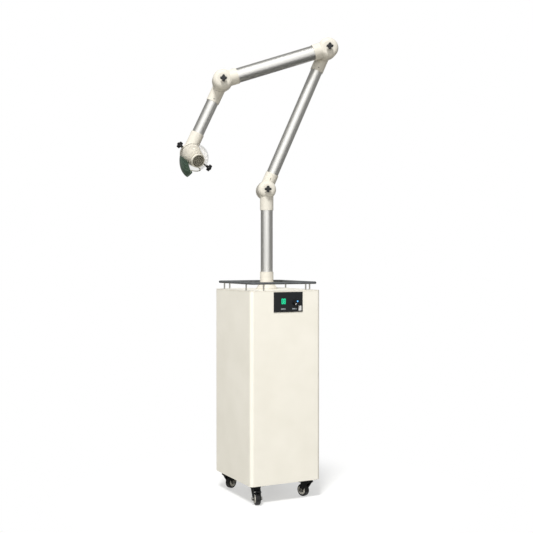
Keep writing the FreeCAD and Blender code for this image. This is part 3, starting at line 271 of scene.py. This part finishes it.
def turned(mesh, profile, centre, axis, start=None, turn=360, steps=48):
    """Adds a form turned about an axis: (radius, height) points, a ring where the last is the first."""
    side = (start or axis.orthogonal()).normalized()
    closed = profile[0] == profile[-1]
    points = [mesh.verts.new(centre + side * r + axis * h) for r, h in (profile[:-1] if closed else profile)]
    edges = [mesh.edges.new(ends) for ends in zip(points, points[1:])]
    if closed:
        edges.append(mesh.edges.new((points[-1], points[0])))
    bmesh.ops.spin(mesh, geom=points + edges, cent=centre, axis=axis, angle=math.radians(turn), steps=steps,
                   use_merge=turn == 360)
    bmesh.ops.remove_doubles(mesh, verts=mesh.verts, dist=1e-6)


light_pipe, shader = finish("blue_light_pipe", IOR=1.49, Roughness=0.2, Emission_Strength=0.6)
spot = add(light_pipe, "TexCoord", {}).outputs["Object"]
cells = add(light_pipe, "TexNoise", {"Vector": spot}, {"Scale": 1 / 0.002})
glow = add(light_pipe, "ValToRGB", {"Fac": cells.outputs["Fac"]},
           stops=((0.35, "3F97E0"), (0.65, "6FBBF2"))).outputs["Color"]
light_pipe.node_tree.links.new(glow, shader.inputs["Base Color"])
light_pipe.node_tree.links.new(glow, shader.inputs["Emission Color"])
LENS_PROFILE = [(0, 0.0009), (0.0016, 0.0008), (0.0026, 0.0005), (0.0031, 0.0002), (0.0034, 0),
                (0.0034, -0.0005), (0, -0.0005)]
lens_place = dial + Vector((0.0042, 0, 0.0046))
lens = bmesh.new()
turned(lens, LENS_PROFILE, lens_place, Vector((0, -1, 0)))
piece("dial_light", lens, light_pipe, "control_dial")

# Power key: a white ABS push key in the panel's corner, moulded with a fine spark finish. The filter
# box inside the cabinet is moulded from the same plastic.
white_plastic, shader = finish("moulded_white_abs", IOR=1.54)
spot = add(white_plastic, "TexCoord", {}).outputs["Object"]
spark = add(white_plastic, "TexVoronoi", {"Vector": spot}, {"Scale": 1 / 0.0012})
gloss = add(white_plastic, "MapRange", {"Value": spark.outputs["Distance"]},
            {"To Min": 0.35, "To Max": 0.5})
links = white_plastic.node_tree.links
tone = add(white_plastic, "ValToRGB", {"Fac": spark.outputs["Distance"]},
           stops=((0.1, "D3D3D2"), (0.7, "E0E0DE")))
links.new(tone.outputs["Color"], shader.inputs["Base Color"])
links.new(gloss.outputs["Result"], shader.inputs["Roughness"])
dress(white_plastic, "power_key", "filter_box")

# Air path inside the cabinet: a galvanised duct and blower scroll, the three filters in their box,
# and a cast motor with its impeller. It shows only where a cover is off.
galvanised, shader = finish("galvanised_sheet", Metallic=1.0)
spot = add(galvanised, "TexCoord", {}).outputs["Object"]
spangle = add(galvanised, "TexVoronoi", {"Vector": spot}, {"Scale": 1 / 0.012})
gloss = add(galvanised, "MapRange", {"Value": spangle.outputs["Color"]}, {"To Min": 0.34, "To Max": 0.5})
links = galvanised.node_tree.links
tone = add(galvanised, "ValToRGB", {"Fac": spangle.outputs["Color"]},
           stops=((0.2, "A4A8AB"), (0.8, "B9BDC0")))
links.new(tone.outputs["Color"], shader.inputs["Base Color"])
links.new(gloss.outputs["Result"], shader.inputs["Roughness"])
dress(galvanised, "inlet_duct", "blower_scroll", "impeller")

# Motor housing: die-cast aluminium alloy, left as cast, with a fine grit of about 2.5 mm that breaks
# up its gloss. Its shaft carries the impeller.
cast_alloy, shader = finish("die_cast_alloy", Metallic=1.0)
spot = add(cast_alloy, "TexCoord", {}).outputs["Object"]
grit = add(cast_alloy, "TexNoise", {"Vector": spot}, {"Scale": 1 / 0.0025, "Detail": 4.0})
relief = add(cast_alloy, "Bump", {"Height": grit.outputs["Fac"]}, {"Strength": 0.3, "Distance": 0.0002})
gloss = add(cast_alloy, "MapRange", {"Value": grit.outputs["Fac"]}, {"To Min": 0.4, "To Max": 0.6})
links = cast_alloy.node_tree.links
tone = add(cast_alloy, "ValToRGB", {"Fac": grit.outputs["Fac"]}, stops=((0.3, "8E9194"), (0.7, "A0A3A6")))
links.new(tone.outputs["Color"], shader.inputs["Base Color"])
links.new(gloss.outputs["Result"], shader.inputs["Roughness"])
links.new(relief.outputs["Normal"], shader.inputs["Normal"])
dress(cast_alloy, "blower_motor")

# Pleated glass paper: off-white folds 5 mm apart, the medium of the fine filter and of the coarse one before
# it. It is painted darker in the troughs of its folds, as painted shade in the creases.
glass_paper, shader = finish("pleated_glass_paper", IOR=1.45, Roughness=0.9)
spot = add(glass_paper, "TexCoord", {}).outputs["Object"]
pleats_and_crease_shade = add(glass_paper, "TexWave", {"Vector": spot}, {"Scale": WAVE_SPAN / 0.005},
            wave_type="BANDS", bands_direction="X")
relief = add(glass_paper, "Bump", {"Height": pleats_and_crease_shade.outputs["Fac"]}, {"Strength": 0.6, "Distance": 0.002})
links = glass_paper.node_tree.links
# Painted shade: the tone follows the fold height, darker in the creases.
tone = add(glass_paper, "ValToRGB", {"Fac": pleats_and_crease_shade.outputs["Fac"]}, stops=((0.1, "D6D5CF"), (0.6, "EDECE6")))
links.new(tone.outputs["Color"], shader.inputs["Base Color"])
links.new(relief.outputs["Normal"], shader.inputs["Normal"])
dress(glass_paper, "hepa_filter", "prefilter")

# Activated carbon: black granules about 3 mm across, bonded into a block. It is the last filter before
# the blower.
carbon_block, shader = finish("activated_carbon", IOR=1.5, Roughness=0.8)
spot = add(carbon_block, "TexCoord", {}).outputs["Object"]
granules = add(carbon_block, "TexVoronoi", {"Vector": spot}, {"Scale": 1 / 0.003})
relief = add(carbon_block, "Bump", {"Height": granules.outputs["Distance"]},
             {"Strength": 0.8, "Distance": 0.001})
links = carbon_block.node_tree.links
tone = add(carbon_block, "ValToRGB", {"Fac": granules.outputs["Distance"]},
           stops=((0.1, "141414"), (0.8, "2A2A2B")))
links.new(tone.outputs["Color"], shader.inputs["Base Color"])
links.new(relief.outputs["Normal"], shader.inputs["Normal"])
dress(carbon_block, "carbon_filter")

# Casters: black pressed forks under zinc plates, rubber tyres on pale nylon hubs, and a brake pedal
# on each of the front two. Each wheel turns on a bolt with a hexagon head and nut.
CORNERS = ("front_left", "front_right", "rear_left", "rear_right")
fork_lacquer, shader = finish("black_fork_lacquer", IOR=1.5)
spot = add(fork_lacquer, "TexCoord", {}).outputs["Object"]
drift = add(fork_lacquer, "TexNoise", {"Vector": spot}, {"Scale": 1 / 0.006, "Detail": 3.0})
gloss = add(fork_lacquer, "MapRange", {"Value": drift.outputs["Fac"]}, {"To Min": 0.3, "To Max": 0.48})
links = fork_lacquer.node_tree.links
tone = add(fork_lacquer, "ValToRGB", {"Fac": drift.outputs["Fac"]},
           stops=((0.3, "131416"), (0.7, "1E1F21")))
links.new(tone.outputs["Color"], shader.inputs["Base Color"])
links.new(gloss.outputs["Result"], shader.inputs["Roughness"])
dress(fork_lacquer, *("caster_fork_" + corner for corner in CORNERS),
      "caster_brake_front_left", "caster_brake_front_right")

# Tyres: moulded black rubber, matt, with scuffs a few millimetres long in relief and tone. Each is
# moulded on its hub and turns with it.
tyre_rubber, shader = finish("moulded_tyre_rubber", IOR=1.52)
spot = add(tyre_rubber, "TexCoord", {}).outputs["Object"]
scuff = add(tyre_rubber, "TexNoise", {"Vector": spot}, {"Scale": 1 / 0.004, "Detail": 4.0})
relief = add(tyre_rubber, "Bump", {"Height": scuff.outputs["Fac"]}, {"Strength": 0.25, "Distance": 0.0002})
gloss = add(tyre_rubber, "MapRange", {"Value": scuff.outputs["Fac"]}, {"To Min": 0.55, "To Max": 0.8})
links = tyre_rubber.node_tree.links
tone = add(tyre_rubber, "ValToRGB", {"Fac": scuff.outputs["Fac"]},
           stops=((0.3, "1A1A1B"), (0.75, "2B2B2C")))
links.new(tone.outputs["Color"], shader.inputs["Base Color"])
links.new(gloss.outputs["Result"], shader.inputs["Roughness"])
links.new(relief.outputs["Normal"], shader.inputs["Normal"])
dress(tyre_rubber, *("caster_tyre_" + corner for corner in CORNERS))

# Hubs: pale moulded nylon, with faint flow marks about 8 mm across. They run on the axle bolts between
# the fork's cheeks.
hub_nylon, shader = finish("pale_hub_nylon", IOR=1.53)
spot = add(hub_nylon, "TexCoord", {}).outputs["Object"]
flow = add(hub_nylon, "TexNoise", {"Vector": spot}, {"Scale": 1 / 0.008, "Detail": 2.0})
gloss = add(hub_nylon, "MapRange", {"Value": flow.outputs["Fac"]}, {"To Min": 0.4, "To Max": 0.55})
links = hub_nylon.node_tree.links
tone = add(hub_nylon, "ValToRGB", {"Fac": flow.outputs["Fac"]}, stops=((0.3, "D6D3CA"), (0.7, "E4E1D8")))
links.new(tone.outputs["Color"], shader.inputs["Base Color"])
links.new(gloss.outputs["Result"], shader.inputs["Roughness"])
dress(hub_nylon, *("caster_hub_" + corner for corner in CORNERS))

# Axle bolts: a zinc-plated hexagon head and nut on the outside of each fork's cheeks, over washers.
# Each is made at its wheel's axis in the frame and stays with the fork.
CHEEK = 0.0155
BOLT_GAP = 0.0002
HEAD_RADIUS = 0.0068
HEAD_DEPTH = 0.0044
HEAD_MIDDLE = 0.003
WASHER_PROFILE = [(0.004, 0), (0.0085, 0), (0.0085, 0.0007), (0.008, 0.001), (0.004, 0.001), (0.004, 0)]
for corner in CORNERS:
    middle = Vector(joints["roll_" + corner]["pos_m"])
    axle = Vector(joints["roll_" + corner]["axis"])
    bolt = bmesh.new()
    for way in (axle, -axle):
        seat = middle + way * (CHEEK + BOLT_GAP)
        turn = Vector((0, 0, 1)).rotation_difference(way).to_matrix().to_4x4()
        head = bmesh.ops.create_cone(
            bolt, cap_ends=True, segments=6, radius1=HEAD_RADIUS, radius2=HEAD_RADIUS, depth=HEAD_DEPTH,
            matrix=Matrix.Translation(seat + way * HEAD_MIDDLE) @ turn)
        rims = {e for v in head["verts"] for e in v.link_edges}
        bmesh.ops.bevel(
            bolt, geom=list(rims), offset=0.0005, affect="EDGES", segments=2, profile=0.5, material=-1)
        turned(bolt, WASHER_PROFILE, seat, way, steps=32)
    piece("axle_bolt_" + corner, bolt, turned_steel, "fork_" + corner)

# Arm tubes: drawn aluminium tube, brushed lengthways and clear anodised. Its grain runs along each
# tube as fine streaks, drawn here 0.8 mm wide and 60 mm long so that they show.
joint_1, joint_2, joint_3, joint_4 = (
    Vector(joints[name]["pos_m"]) for name in ("shoulder", "elbow", "wrist", "hood_tilt"))
arm_back = Vector(joints["shoulder"]["axis"])
head_way = Vector(joints["hood_tilt"]["axis"])
SEAM_TO_TUBE = 0.031
HEAD_STEP = 0.02
lower_way = (joint_2 - joint_1).normalized()
upper_way = (joint_3 - joint_2).normalized()
drop_way = (joint_4 - head_way * HEAD_STEP - arm_back * SEAM_TO_TUBE - joint_3).normalized()
for tube_name, way in (("post_tube", Vector((0, 0, 1))), ("lower_arm_tube", lower_way),
                       ("upper_arm_tube", upper_way), ("drop_arm_tube", drop_way)):
    anodised, shader = finish("brushed_anodised_" + tube_name, Metallic=1.0)
    spot = add(anodised, "TexCoord", {}).outputs["Object"]
    along = add(anodised, "Mapping", {"Vector": spot}, {
        "Rotation": way.rotation_difference(Vector((0, 0, 1))).to_euler(),
        "Scale": (1 / 0.0008, 1 / 0.0008, 1 / 0.06)})
    streaks = add(anodised, "TexNoise", {"Vector": along.outputs["Vector"]}, {"Scale": 1.0, "Detail": 3.0})
    relief = add(anodised, "Bump", {"Height": streaks.outputs["Fac"]},
                 {"Strength": 0.08, "Distance": 0.0001})
    gloss = add(anodised, "MapRange", {"Value": streaks.outputs["Fac"]}, {"To Min": 0.38, "To Max": 0.47})
    links = anodised.node_tree.links
    tone = add(anodised, "ValToRGB", {"Fac": streaks.outputs["Fac"]},
               stops=((0.25, "E6E5E1"), (0.75, "F0EFEB")))
    links.new(tone.outputs["Color"], shader.inputs["Base Color"])
    links.new(gloss.outputs["Result"], shader.inputs["Roughness"])
    links.new(relief.outputs["Normal"], shader.inputs["Normal"])
    dress(anodised, tube_name)

# Knuckles, collars and hood: hollow halves of glass-filled nylon, moulded in cream with a fine matt
# texture, which clamp on each other at flat seams and grip the tubes in their collars.
cream_nylon, shader = finish("moulded_cream_nylon", IOR=1.53, Specular_IOR_Level=0.45)
spot = add(cream_nylon, "TexCoord", {}).outputs["Object"]
drift = add(cream_nylon, "TexNoise", {"Vector": spot}, {"Scale": 1 / 0.05, "Detail": 2.0})
spark = add(cream_nylon, "TexNoise", {"Vector": spot}, {"Scale": 1 / 0.0012})
gloss = add(cream_nylon, "MapRange", {"Value": drift.outputs["Fac"]}, {"To Min": 0.36, "To Max": 0.48})
relief = add(cream_nylon, "Bump", {"Height": spark.outputs["Fac"]}, {"Strength": 0.12, "Distance": 0.0001})
links = cream_nylon.node_tree.links
tone = add(cream_nylon, "ValToRGB", {"Fac": drift.outputs["Fac"]}, stops=((0.3, "D3CEC2"), (0.7, "DBD6CA")))
links.new(tone.outputs["Color"], shader.inputs["Base Color"])
links.new(gloss.outputs["Result"], shader.inputs["Roughness"])
links.new(relief.outputs["Normal"], shader.inputs["Normal"])
dress(cream_nylon, "base_flange", "base_collar", "post_knuckle", "lower_arm_bottom_knuckle",
      "lower_arm_top_knuckle", "upper_arm_right_knuckle", "upper_arm_left_knuckle", "drop_arm_top_knuckle",
      "drop_arm_bottom_knuckle", "hood_body")

# Joint seals: a ring of dark rubber in each seam, whose thin dark line where the halves meet also stands for
# painted shadow in the gap between them.
# It lies in a groove of one half and stays with that half when the joint turns.
seal_with_painted_gap_shade, shader = finish("dark_seal_painted_seam_shadow", IOR=1.52)
spot = add(seal_with_painted_gap_shade, "TexCoord", {}).outputs["Object"]
bloom = add(seal_with_painted_gap_shade, "TexNoise", {"Vector": spot}, {"Scale": 1 / 0.004, "Detail": 3.0})
gloss = add(seal_with_painted_gap_shade, "MapRange", {"Value": bloom.outputs["Fac"]}, {"To Min": 0.6, "To Max": 0.8})
links = seal_with_painted_gap_shade.node_tree.links
# Painted shadow: the seal's dark grey-brown also stands for the shade in the seam's gap.
tone = add(seal_with_painted_gap_shade, "ValToRGB", {"Fac": bloom.outputs["Fac"]}, stops=((0.3, "5C5850"), (0.7, "6C685F")))
links.new(tone.outputs["Color"], shader.inputs["Base Color"])
links.new(gloss.outputs["Result"], shader.inputs["Roughness"])
SEAL_HALF = 0.001
ARM_SEAL = 0.0372
HOOD_SEAL = 0.0437
for seal_name, seam, axis, radius, body in (("post_seal", joint_1, arm_back, ARM_SEAL, "lower_arm"),
                                            ("elbow_seal", joint_2, arm_back, ARM_SEAL, "lower_arm"),
                                            ("wrist_seal", joint_3, arm_back, ARM_SEAL, "drop_arm"),
                                            ("hood_seal", joint_4, head_way, HOOD_SEAL, "drop_arm")):
    seal = bmesh.new()
    turned(seal, [(radius - SEAL_HALF, -SEAL_HALF), (radius + SEAL_HALF, -SEAL_HALF),
                  (radius + 1.4 * SEAL_HALF, 0), (radius + SEAL_HALF, SEAL_HALF),
                  (radius - SEAL_HALF, SEAL_HALF), (radius - SEAL_HALF, -SEAL_HALF)],
           seam, axis, steps=96)
    piece(seal_name, seal, seal_with_painted_gap_shade, body)

# Nut plugs: each far half carries its clamp nut behind a shallow domed plug of the same cream nylon,
# pressed into its pole.
SEAM_TO_POLE = 0.062
PLUG_PROFILE = [(0, 0.0021), (0.005, 0.0019), (0.010, 0.0012), (0.0122, 0.0005), (0.0127, -0.0006),
                (0.0118, -0.0016), (0, -0.0016)]
for plug_name, seam, body in (("post_nut_plug", joint_1, "lower_arm"),
                              ("elbow_nut_plug", joint_2, "lower_arm"),
                              ("wrist_nut_plug", joint_3, "drop_arm")):
    plug = bmesh.new()
    turned(plug, PLUG_PROFILE, seam + arm_back * SEAM_TO_POLE, arm_back)
    piece(plug_name, plug, cream_nylon, body)

# Set screws: a blackened steel screw with a hexagon socket in each rear half's collar pins its tube.
# It is screwed in until its end is nearly flush.
black_oxide, shader = finish("black_oxide_steel", Metallic=1.0)
spot = add(black_oxide, "TexCoord", {}).outputs["Object"]
bloom = add(black_oxide, "TexNoise", {"Vector": spot}, {"Scale": 1 / 0.002, "Detail": 2.0})
gloss = add(black_oxide, "MapRange", {"Value": bloom.outputs["Fac"]}, {"To Min": 0.35, "To Max": 0.5})
links = black_oxide.node_tree.links
tone = add(black_oxide, "ValToRGB", {"Fac": bloom.outputs["Fac"]}, stops=((0.3, "4A4844"), (0.7, "5E5B55")))
links.new(tone.outputs["Color"], shader.inputs["Base Color"])
links.new(gloss.outputs["Result"], shader.inputs["Roughness"])
COLLAR_RADIUS = 0.0278
SHORT_REACH = 0.052
LONG_REACH = 0.078
SOCKET_RADIUS = 0.0012
SOCKET_DEPTH = 0.0012
SCREW_PROFILE = [(0.0013, 0), (0.0024, 0.0001), (0.0027, -0.0004), (0.0027, -0.0015)]
for screw_name, hub, reach, body in (
        ("lower_set_screw", joint_1, lower_way * SHORT_REACH, "lower_arm"),
        ("upper_set_screw", joint_2, lower_way * -LONG_REACH, "lower_arm"),
        ("drop_set_screw", joint_3, drop_way * LONG_REACH, "drop_arm")):
    screw = bmesh.new()
    seat = hub + arm_back * (SEAM_TO_TUBE - COLLAR_RADIUS) + reach
    facing =Matrix.Translation(seat) @ Vector((0, 0, 1)).rotation_difference(-arm_back).to_matrix().to_4x4()
    bmesh.ops.create_circle(screw, cap_ends=True, segments=6, radius=SOCKET_RADIUS, matrix=facing)
    sides = bmesh.ops.extrude_face_region(screw, geom=screw.faces[:])
    top = [v for v in sides["geom"] if isinstance(v, bmesh.types.BMVert)]
    bmesh.ops.translate(screw, verts=top, vec=arm_back * SOCKET_DEPTH)
    turned(screw, SCREW_PROFILE, seat, -arm_back, steps=24)
    piece(screw_name, screw, black_oxide, body)

# Clamp knobs: four-lobed heads of black nylon on their studs, one on each joint and one on the shroud.
# They are moulded from the same nylon as the dial.
dress(moulded_black, "post_joint_knob", "elbow_joint_knob", "wrist_joint_knob", "hood_joint_knob",
      "shroud_clamp_knob")

# Intake grille: concentric rings of grey-brown ABS on four spokes, pressed into the cone's end. Its
# tone drifts a little over 4 mm, as dust leaves it.
grille_abs, shader = finish("ringed_grille_abs", IOR=1.54)
spot = add(grille_abs, "TexCoord", {}).outputs["Object"]
drift = add(grille_abs, "TexNoise", {"Vector": spot}, {"Scale": 1 / 0.004, "Detail": 3.0})
gloss = add(grille_abs, "MapRange", {"Value": drift.outputs["Fac"]}, {"To Min": 0.4, "To Max": 0.55})
links = grille_abs.node_tree.links
tone = add(grille_abs, "ValToRGB", {"Fac": drift.outputs["Fac"]}, stops=((0.3, "8F8A7B"), (0.7, "9C9788")))
links.new(tone.outputs["Color"], shader.inputs["Base Color"])
links.new(gloss.outputs["Result"], shader.inputs["Roughness"])
dress(grille_abs, "intake_grille")

# Shroud: a blown acrylic shell that turns round the cone's end. It is clear and ripples a little over 30 mm.
# Where the wall is seen edge-on its colour darkens to grey-green: partly the acrylic's tint, partly a
# painted reflection of dark surroundings.
clear_acrylic, shader = finish("clear_acrylic", IOR=1.49, Transmission_Weight=0.6, Alpha=0.19)
spot = add(clear_acrylic, "TexCoord", {}).outputs["Object"]
ripple = add(clear_acrylic, "TexNoise", {"Vector": spot}, {"Scale": 1 / 0.03})
gloss = add(clear_acrylic, "MapRange", {"Value": ripple.outputs["Fac"]}, {"To Min": 0.0, "To Max": 0.03})
links = clear_acrylic.node_tree.links
# Painted reflection: the colour turns dark grey-green toward grazing view of the wall.
edge = add(clear_acrylic, "LayerWeight", {}, {"Blend": 0.5})
tone = add(clear_acrylic, "ValToRGB", {"Fac": edge.outputs["Facing"]},
           stops=((0.5, "D2CCC0"), (0.85, "3C423F")))
links.new(tone.outputs["Color"], shader.inputs["Base Color"])
links.new(gloss.outputs["Result"], shader.inputs["Roughness"])
dress(clear_acrylic, "shroud")

# Shroud lip: translucent, polished acrylic cemented to the shroud's mouth. Its dark green is partly the
# acrylic's green tint and partly painted shade with a painted green reflection. Its tone and gloss drift a
# little over 20 mm.
green_tint_and_painted_shade, shader = finish("green_tint_and_painted_shade", IOR=1.49, Transmission_Weight=0.55)
spot = add(green_tint_and_painted_shade, "TexCoord", {}).outputs["Object"]
ripple = add(green_tint_and_painted_shade, "TexNoise", {"Vector": spot}, {"Scale": 1 / 0.02})
gloss = add(green_tint_and_painted_shade, "MapRange", {"Value": ripple.outputs["Fac"]}, {"To Min": 0.06, "To Max": 0.16})
links = green_tint_and_painted_shade.node_tree.links
# Painted shade: these dark green stops stand partly for shade and reflection on the lip.
tone = add(green_tint_and_painted_shade, "ValToRGB", {"Fac": ripple.outputs["Fac"]},
           stops=((0.3, "556A5C"), (0.7, "667A69")))
links.new(tone.outputs["Color"], shader.inputs["Base Color"])
links.new(gloss.outputs["Result"], shader.inputs["Roughness"])
dress(green_tint_and_painted_shade, "shroud_lip")

# Mouth bead: the shroud's cut edge is polished round and shows the acrylic's own olive tint. It runs
# round the mouth, save at the back.
edge_acrylic, shader = finish("olive_acrylic_edge", IOR=1.49, Transmission_Weight=0.15)
spot = add(edge_acrylic, "TexCoord", {}).outputs["Object"]
ripple = add(edge_acrylic, "TexNoise", {"Vector": spot}, {"Scale": 1 / 0.01})
gloss = add(edge_acrylic, "MapRange", {"Value": ripple.outputs["Fac"]}, {"To Min": 0.1, "To Max": 0.25})
links = edge_acrylic.node_tree.links
tone = add(edge_acrylic, "ValToRGB", {"Fac": ripple.outputs["Fac"]},
           stops=((0.3, "999A7C"), (0.7, "ACAC90")))
links.new(tone.outputs["Color"], shader.inputs["Base Color"])
links.new(gloss.outputs["Result"], shader.inputs["Roughness"])
hood_centre = Vector(joints["shroud_turn"]["pos_m"])
mouth_way = (Vector((0, 0, -1)) - head_way * head_way.dot(Vector((0, 0, -1)))).normalized()
BEAD_OUT = 0.0353
BEAD_IN = 0.0302
BEAD_TURN = 280
MOUTH_REACH = 0.0455
BEAD_PROFILE = [
    (BEAD_IN, 0.0003), (BEAD_OUT, 0.0003), (BEAD_OUT + 0.0005, 0.0013), (BEAD_OUT - 0.0008, 0.0024),
    (BEAD_IN + 0.0008, 0.0024), (BEAD_IN - 0.0004, 0.0013), (BEAD_IN, 0.0003),
]
bead_start = Matrix.Rotation(math.radians(-BEAD_TURN / 2), 3, mouth_way) @ head_way
bead = bmesh.new()
turned(bead, BEAD_PROFILE, hood_centre + mouth_way * MOUTH_REACH, mouth_way, bead_start, BEAD_TURN, 72)
bmesh.ops.holes_fill(bead, edges=bead.edges)
piece("shroud_bead", bead, edge_acrylic, "shroud")

# Studio: a pale floor that runs out to white under a white surround. It throws little light back up,
# as in the photograph, so undersides stay dark.


def stage_piece(name, mesh, material):
    """Makes a bmesh a piece of the studio."""
    data = bpy.data.meshes.new(name)
    mesh.to_mesh(data)
    mesh.free()
    data.materials.append(material)
    made = bpy.data.objects.new(name, data)
    bpy.context.scene.collection.objects.link(made)
    return made


floor_paint, shader = finish("pale_floor", Roughness=1.0, Specular_IOR_Level=0.0)
spot = add(floor_paint, "TexCoord", {}).outputs["Object"]
reach = add(floor_paint, "VectorMath", {"Vector": spot}, operation="LENGTH")
fade = add(floor_paint, "MapRange", {"Value": reach.outputs["Value"]},
           {"From Min": 0.2, "From Max": 0.9, "To Min": 0.5}, interpolation_type="SMOOTHSTEP")
ray = add(floor_paint, "LightPath", {})
seen = add(floor_paint, "Math", {0: ray.outputs["Is Camera Ray"], 1: ray.outputs["Is Glossy Ray"]},
           operation="MAXIMUM")
seen = add(floor_paint, "Math", {0: seen.outputs[0], 1: ray.outputs["Is Transmission Ray"]},
           operation="MAXIMUM")
tone = add(floor_paint, "ValToRGB", {"Fac": seen.outputs[0]}, stops=((0, "A8A69F"), (1, "F7F7F5")))
white = add(floor_paint, "Math", {0: seen.outputs[0], 1: fade.outputs["Result"]}, operation="MULTIPLY")
glow = add(floor_paint, "Emission", {}, {"Color": linear("FFFFFF"), "Strength": 1.0})
mix = add(floor_paint, "MixShader",
          {0: white.outputs[0], 1: shader.outputs["BSDF"], 2: glow.outputs["Emission"]})
links = floor_paint.node_tree.links
links.new(tone.outputs["Color"], shader.inputs["Base Color"])
links.new(mix.outputs["Shader"], floor_paint.node_tree.nodes["Material Output"].inputs["Surface"])
floor = bmesh.new()
bmesh.ops.create_circle(floor, cap_ends=True, segments=96, radius=9)
stage_piece("floor", floor, floor_paint)

world = bpy.data.worlds.new("white_surround")
bpy.context.scene.world = world
world.use_nodes = True
sky = world.node_tree.nodes["Background"]
sky.inputs["Color"].default_value = linear("FFFFFF")
ray = add(world, "LightPath", {})
seen = add(world, "Math", {0: ray.outputs["Is Camera Ray"], 1: ray.outputs["Is Glossy Ray"]},
           operation="MAXIMUM")
seen = add(world, "Math", {0: seen.outputs[0], 1: ray.outputs["Is Transmission Ray"]}, operation="MAXIMUM")
level = add(world, "MapRange", {"Value": seen.outputs[0]}, {"To Min": 0.31, "To Max": 1.0})
world.node_tree.links.new(level.outputs["Result"], sky.inputs["Strength"])

# Flags: grey felt round the sides and the back, and darker felt under the set, open towards the
# front. Only reflections see it, and it gives the bright tubes their dark edges.
felt, shader = finish("dark_flag_felt", Roughness=1.0, Specular_IOR_Level=0.0, Emission_Strength=1.0)
spot = add(felt, "TexCoord", {}).outputs["Object"]
height = add(felt, "SeparateXYZ", {"Vector": spot})
tone = add(felt, "ValToRGB", {"Fac": height.outputs["Z"]}, stops=((0.05, "5A5A58"), (0.5, "8A8A88")))
shader.inputs["Base Color"].default_value = linear("000000")
felt.node_tree.links.new(tone.outputs["Color"], shader.inputs["Emission Color"])
OPEN_WAY = Vector((-0.56, -0.83))
OPEN_HALF = math.radians(52)
FLAG_CENTRE = Vector((0, 0, 1.2))
tent = bmesh.new()
bmesh.ops.create_uvsphere(tent, u_segments=64, v_segments=32, radius=3)
bmesh.ops.translate(tent, verts=tent.verts, vec=FLAG_CENTRE)
gap = []
for face in tent.faces:
    way = (face.calc_center_median() - FLAG_CENTRE).normalized()
    if way.xy.angle(OPEN_WAY) < OPEN_HALF and -0.25 < way.z < 0.95:
        gap.append(face)
bmesh.ops.delete(tent, geom=gap, context="FACES")
for vertex in tent.verts:
    vertex.co.z = max(vertex.co.z, 0.02)
flags = stage_piece("flags", tent, felt)

# Softbox: a tall white panel in the flags' opening, which the tubes and the black parts mirror. It is
# white cloth lit from behind, a little uneven over half a metre.
diffuser, shader = finish("softbox_diffuser", Roughness=1.0, Specular_IOR_Level=0.0, Emission_Strength=1.35)
spot = add(diffuser, "TexCoord", {}).outputs["Object"]
cloth = add(diffuser, "TexNoise", {"Vector": spot}, {"Scale": 1 / 0.5})
tone = add(diffuser, "ValToRGB", {"Fac": cloth.outputs["Fac"]}, stops=((0.3, "F4F4F2"), (0.7, "FFFFFF")))
diffuser.node_tree.links.new(tone.outputs["Color"], shader.inputs["Emission Color"])
PANEL_SIZE = Vector((1.7, 3.6))
panel_place = Vector((-1.38, -2.64, 2.6))
panel_turn = (FLAG_CENTRE - panel_place).to_track_quat("-Z", "Y").to_matrix().to_4x4()
panel = bmesh.new()
bmesh.ops.create_grid(panel, x_segments=1, y_segments=1, size=0.5, matrix=Matrix.Translation(panel_place)
                      @ panel_turn @ Matrix.Diagonal((*PANEL_SIZE, 1, 1)))
softbox = stage_piece("softbox", panel, diffuser)
for made in (flags, softbox):
    made.visible_camera = False
    made.visible_diffuse = False
    made.visible_transmission = False
    made.visible_shadow = False

# Lamps: a soft key high at the front, a broad fill beside the camera, and a weak one behind.
# Only the glint, a weak lamp at the key's place, is mirrored in the tubes, so they don't burn out.
KEY_PLACE = (-4.2, -5.6, 10.8)
LAMP_AIM = Vector((0, 0, 0.9))
for lamp_name, place, width, watts in (("key", KEY_PLACE, 2.4, 1440),
                                       ("glint", KEY_PLACE, 2.4, 200),
                                       ("fill", (-4.7, -4.8, 1.7), 2.6, 110),
                                       ("rim", (3.6, 3.4, 2.6), 2.2, 60)):
    lamp_data = bpy.data.lights.new(lamp_name, "AREA")
    lamp_data.size = width
    lamp_data.energy = watts
    lamp = bpy.data.objects.new(lamp_name, lamp_data)
    lamp.location = place
    lamp.visible_glossy = lamp_name == "glint"
    lamp.rotation_euler = (LAMP_AIM - Vector(place)).to_track_quat("-Z", "Y").to_euler()
    bpy.context.scene.collection.objects.link(lamp)

# Camera: to the left of the unit's front and about at its middle height, with a long lens. It is nearly
# level, so the cabinet's upright edges stay parallel.
camera_data = bpy.data.cameras.new("camera")
camera_data.sensor_width = 36
camera_data.lens = 63.5
camera = bpy.data.objects.new("camera", camera_data)
camera.location = (-1.7606, -3.4777, 0.983)
camera.rotation_euler = (math.radians(90 - 0.633), 0, math.radians(-26.838))
bpy.context.scene.collection.objects.link(camera)
bpy.context.scene.camera = camera
bpy.context.scene.view_settings.view_transform = "Standard"
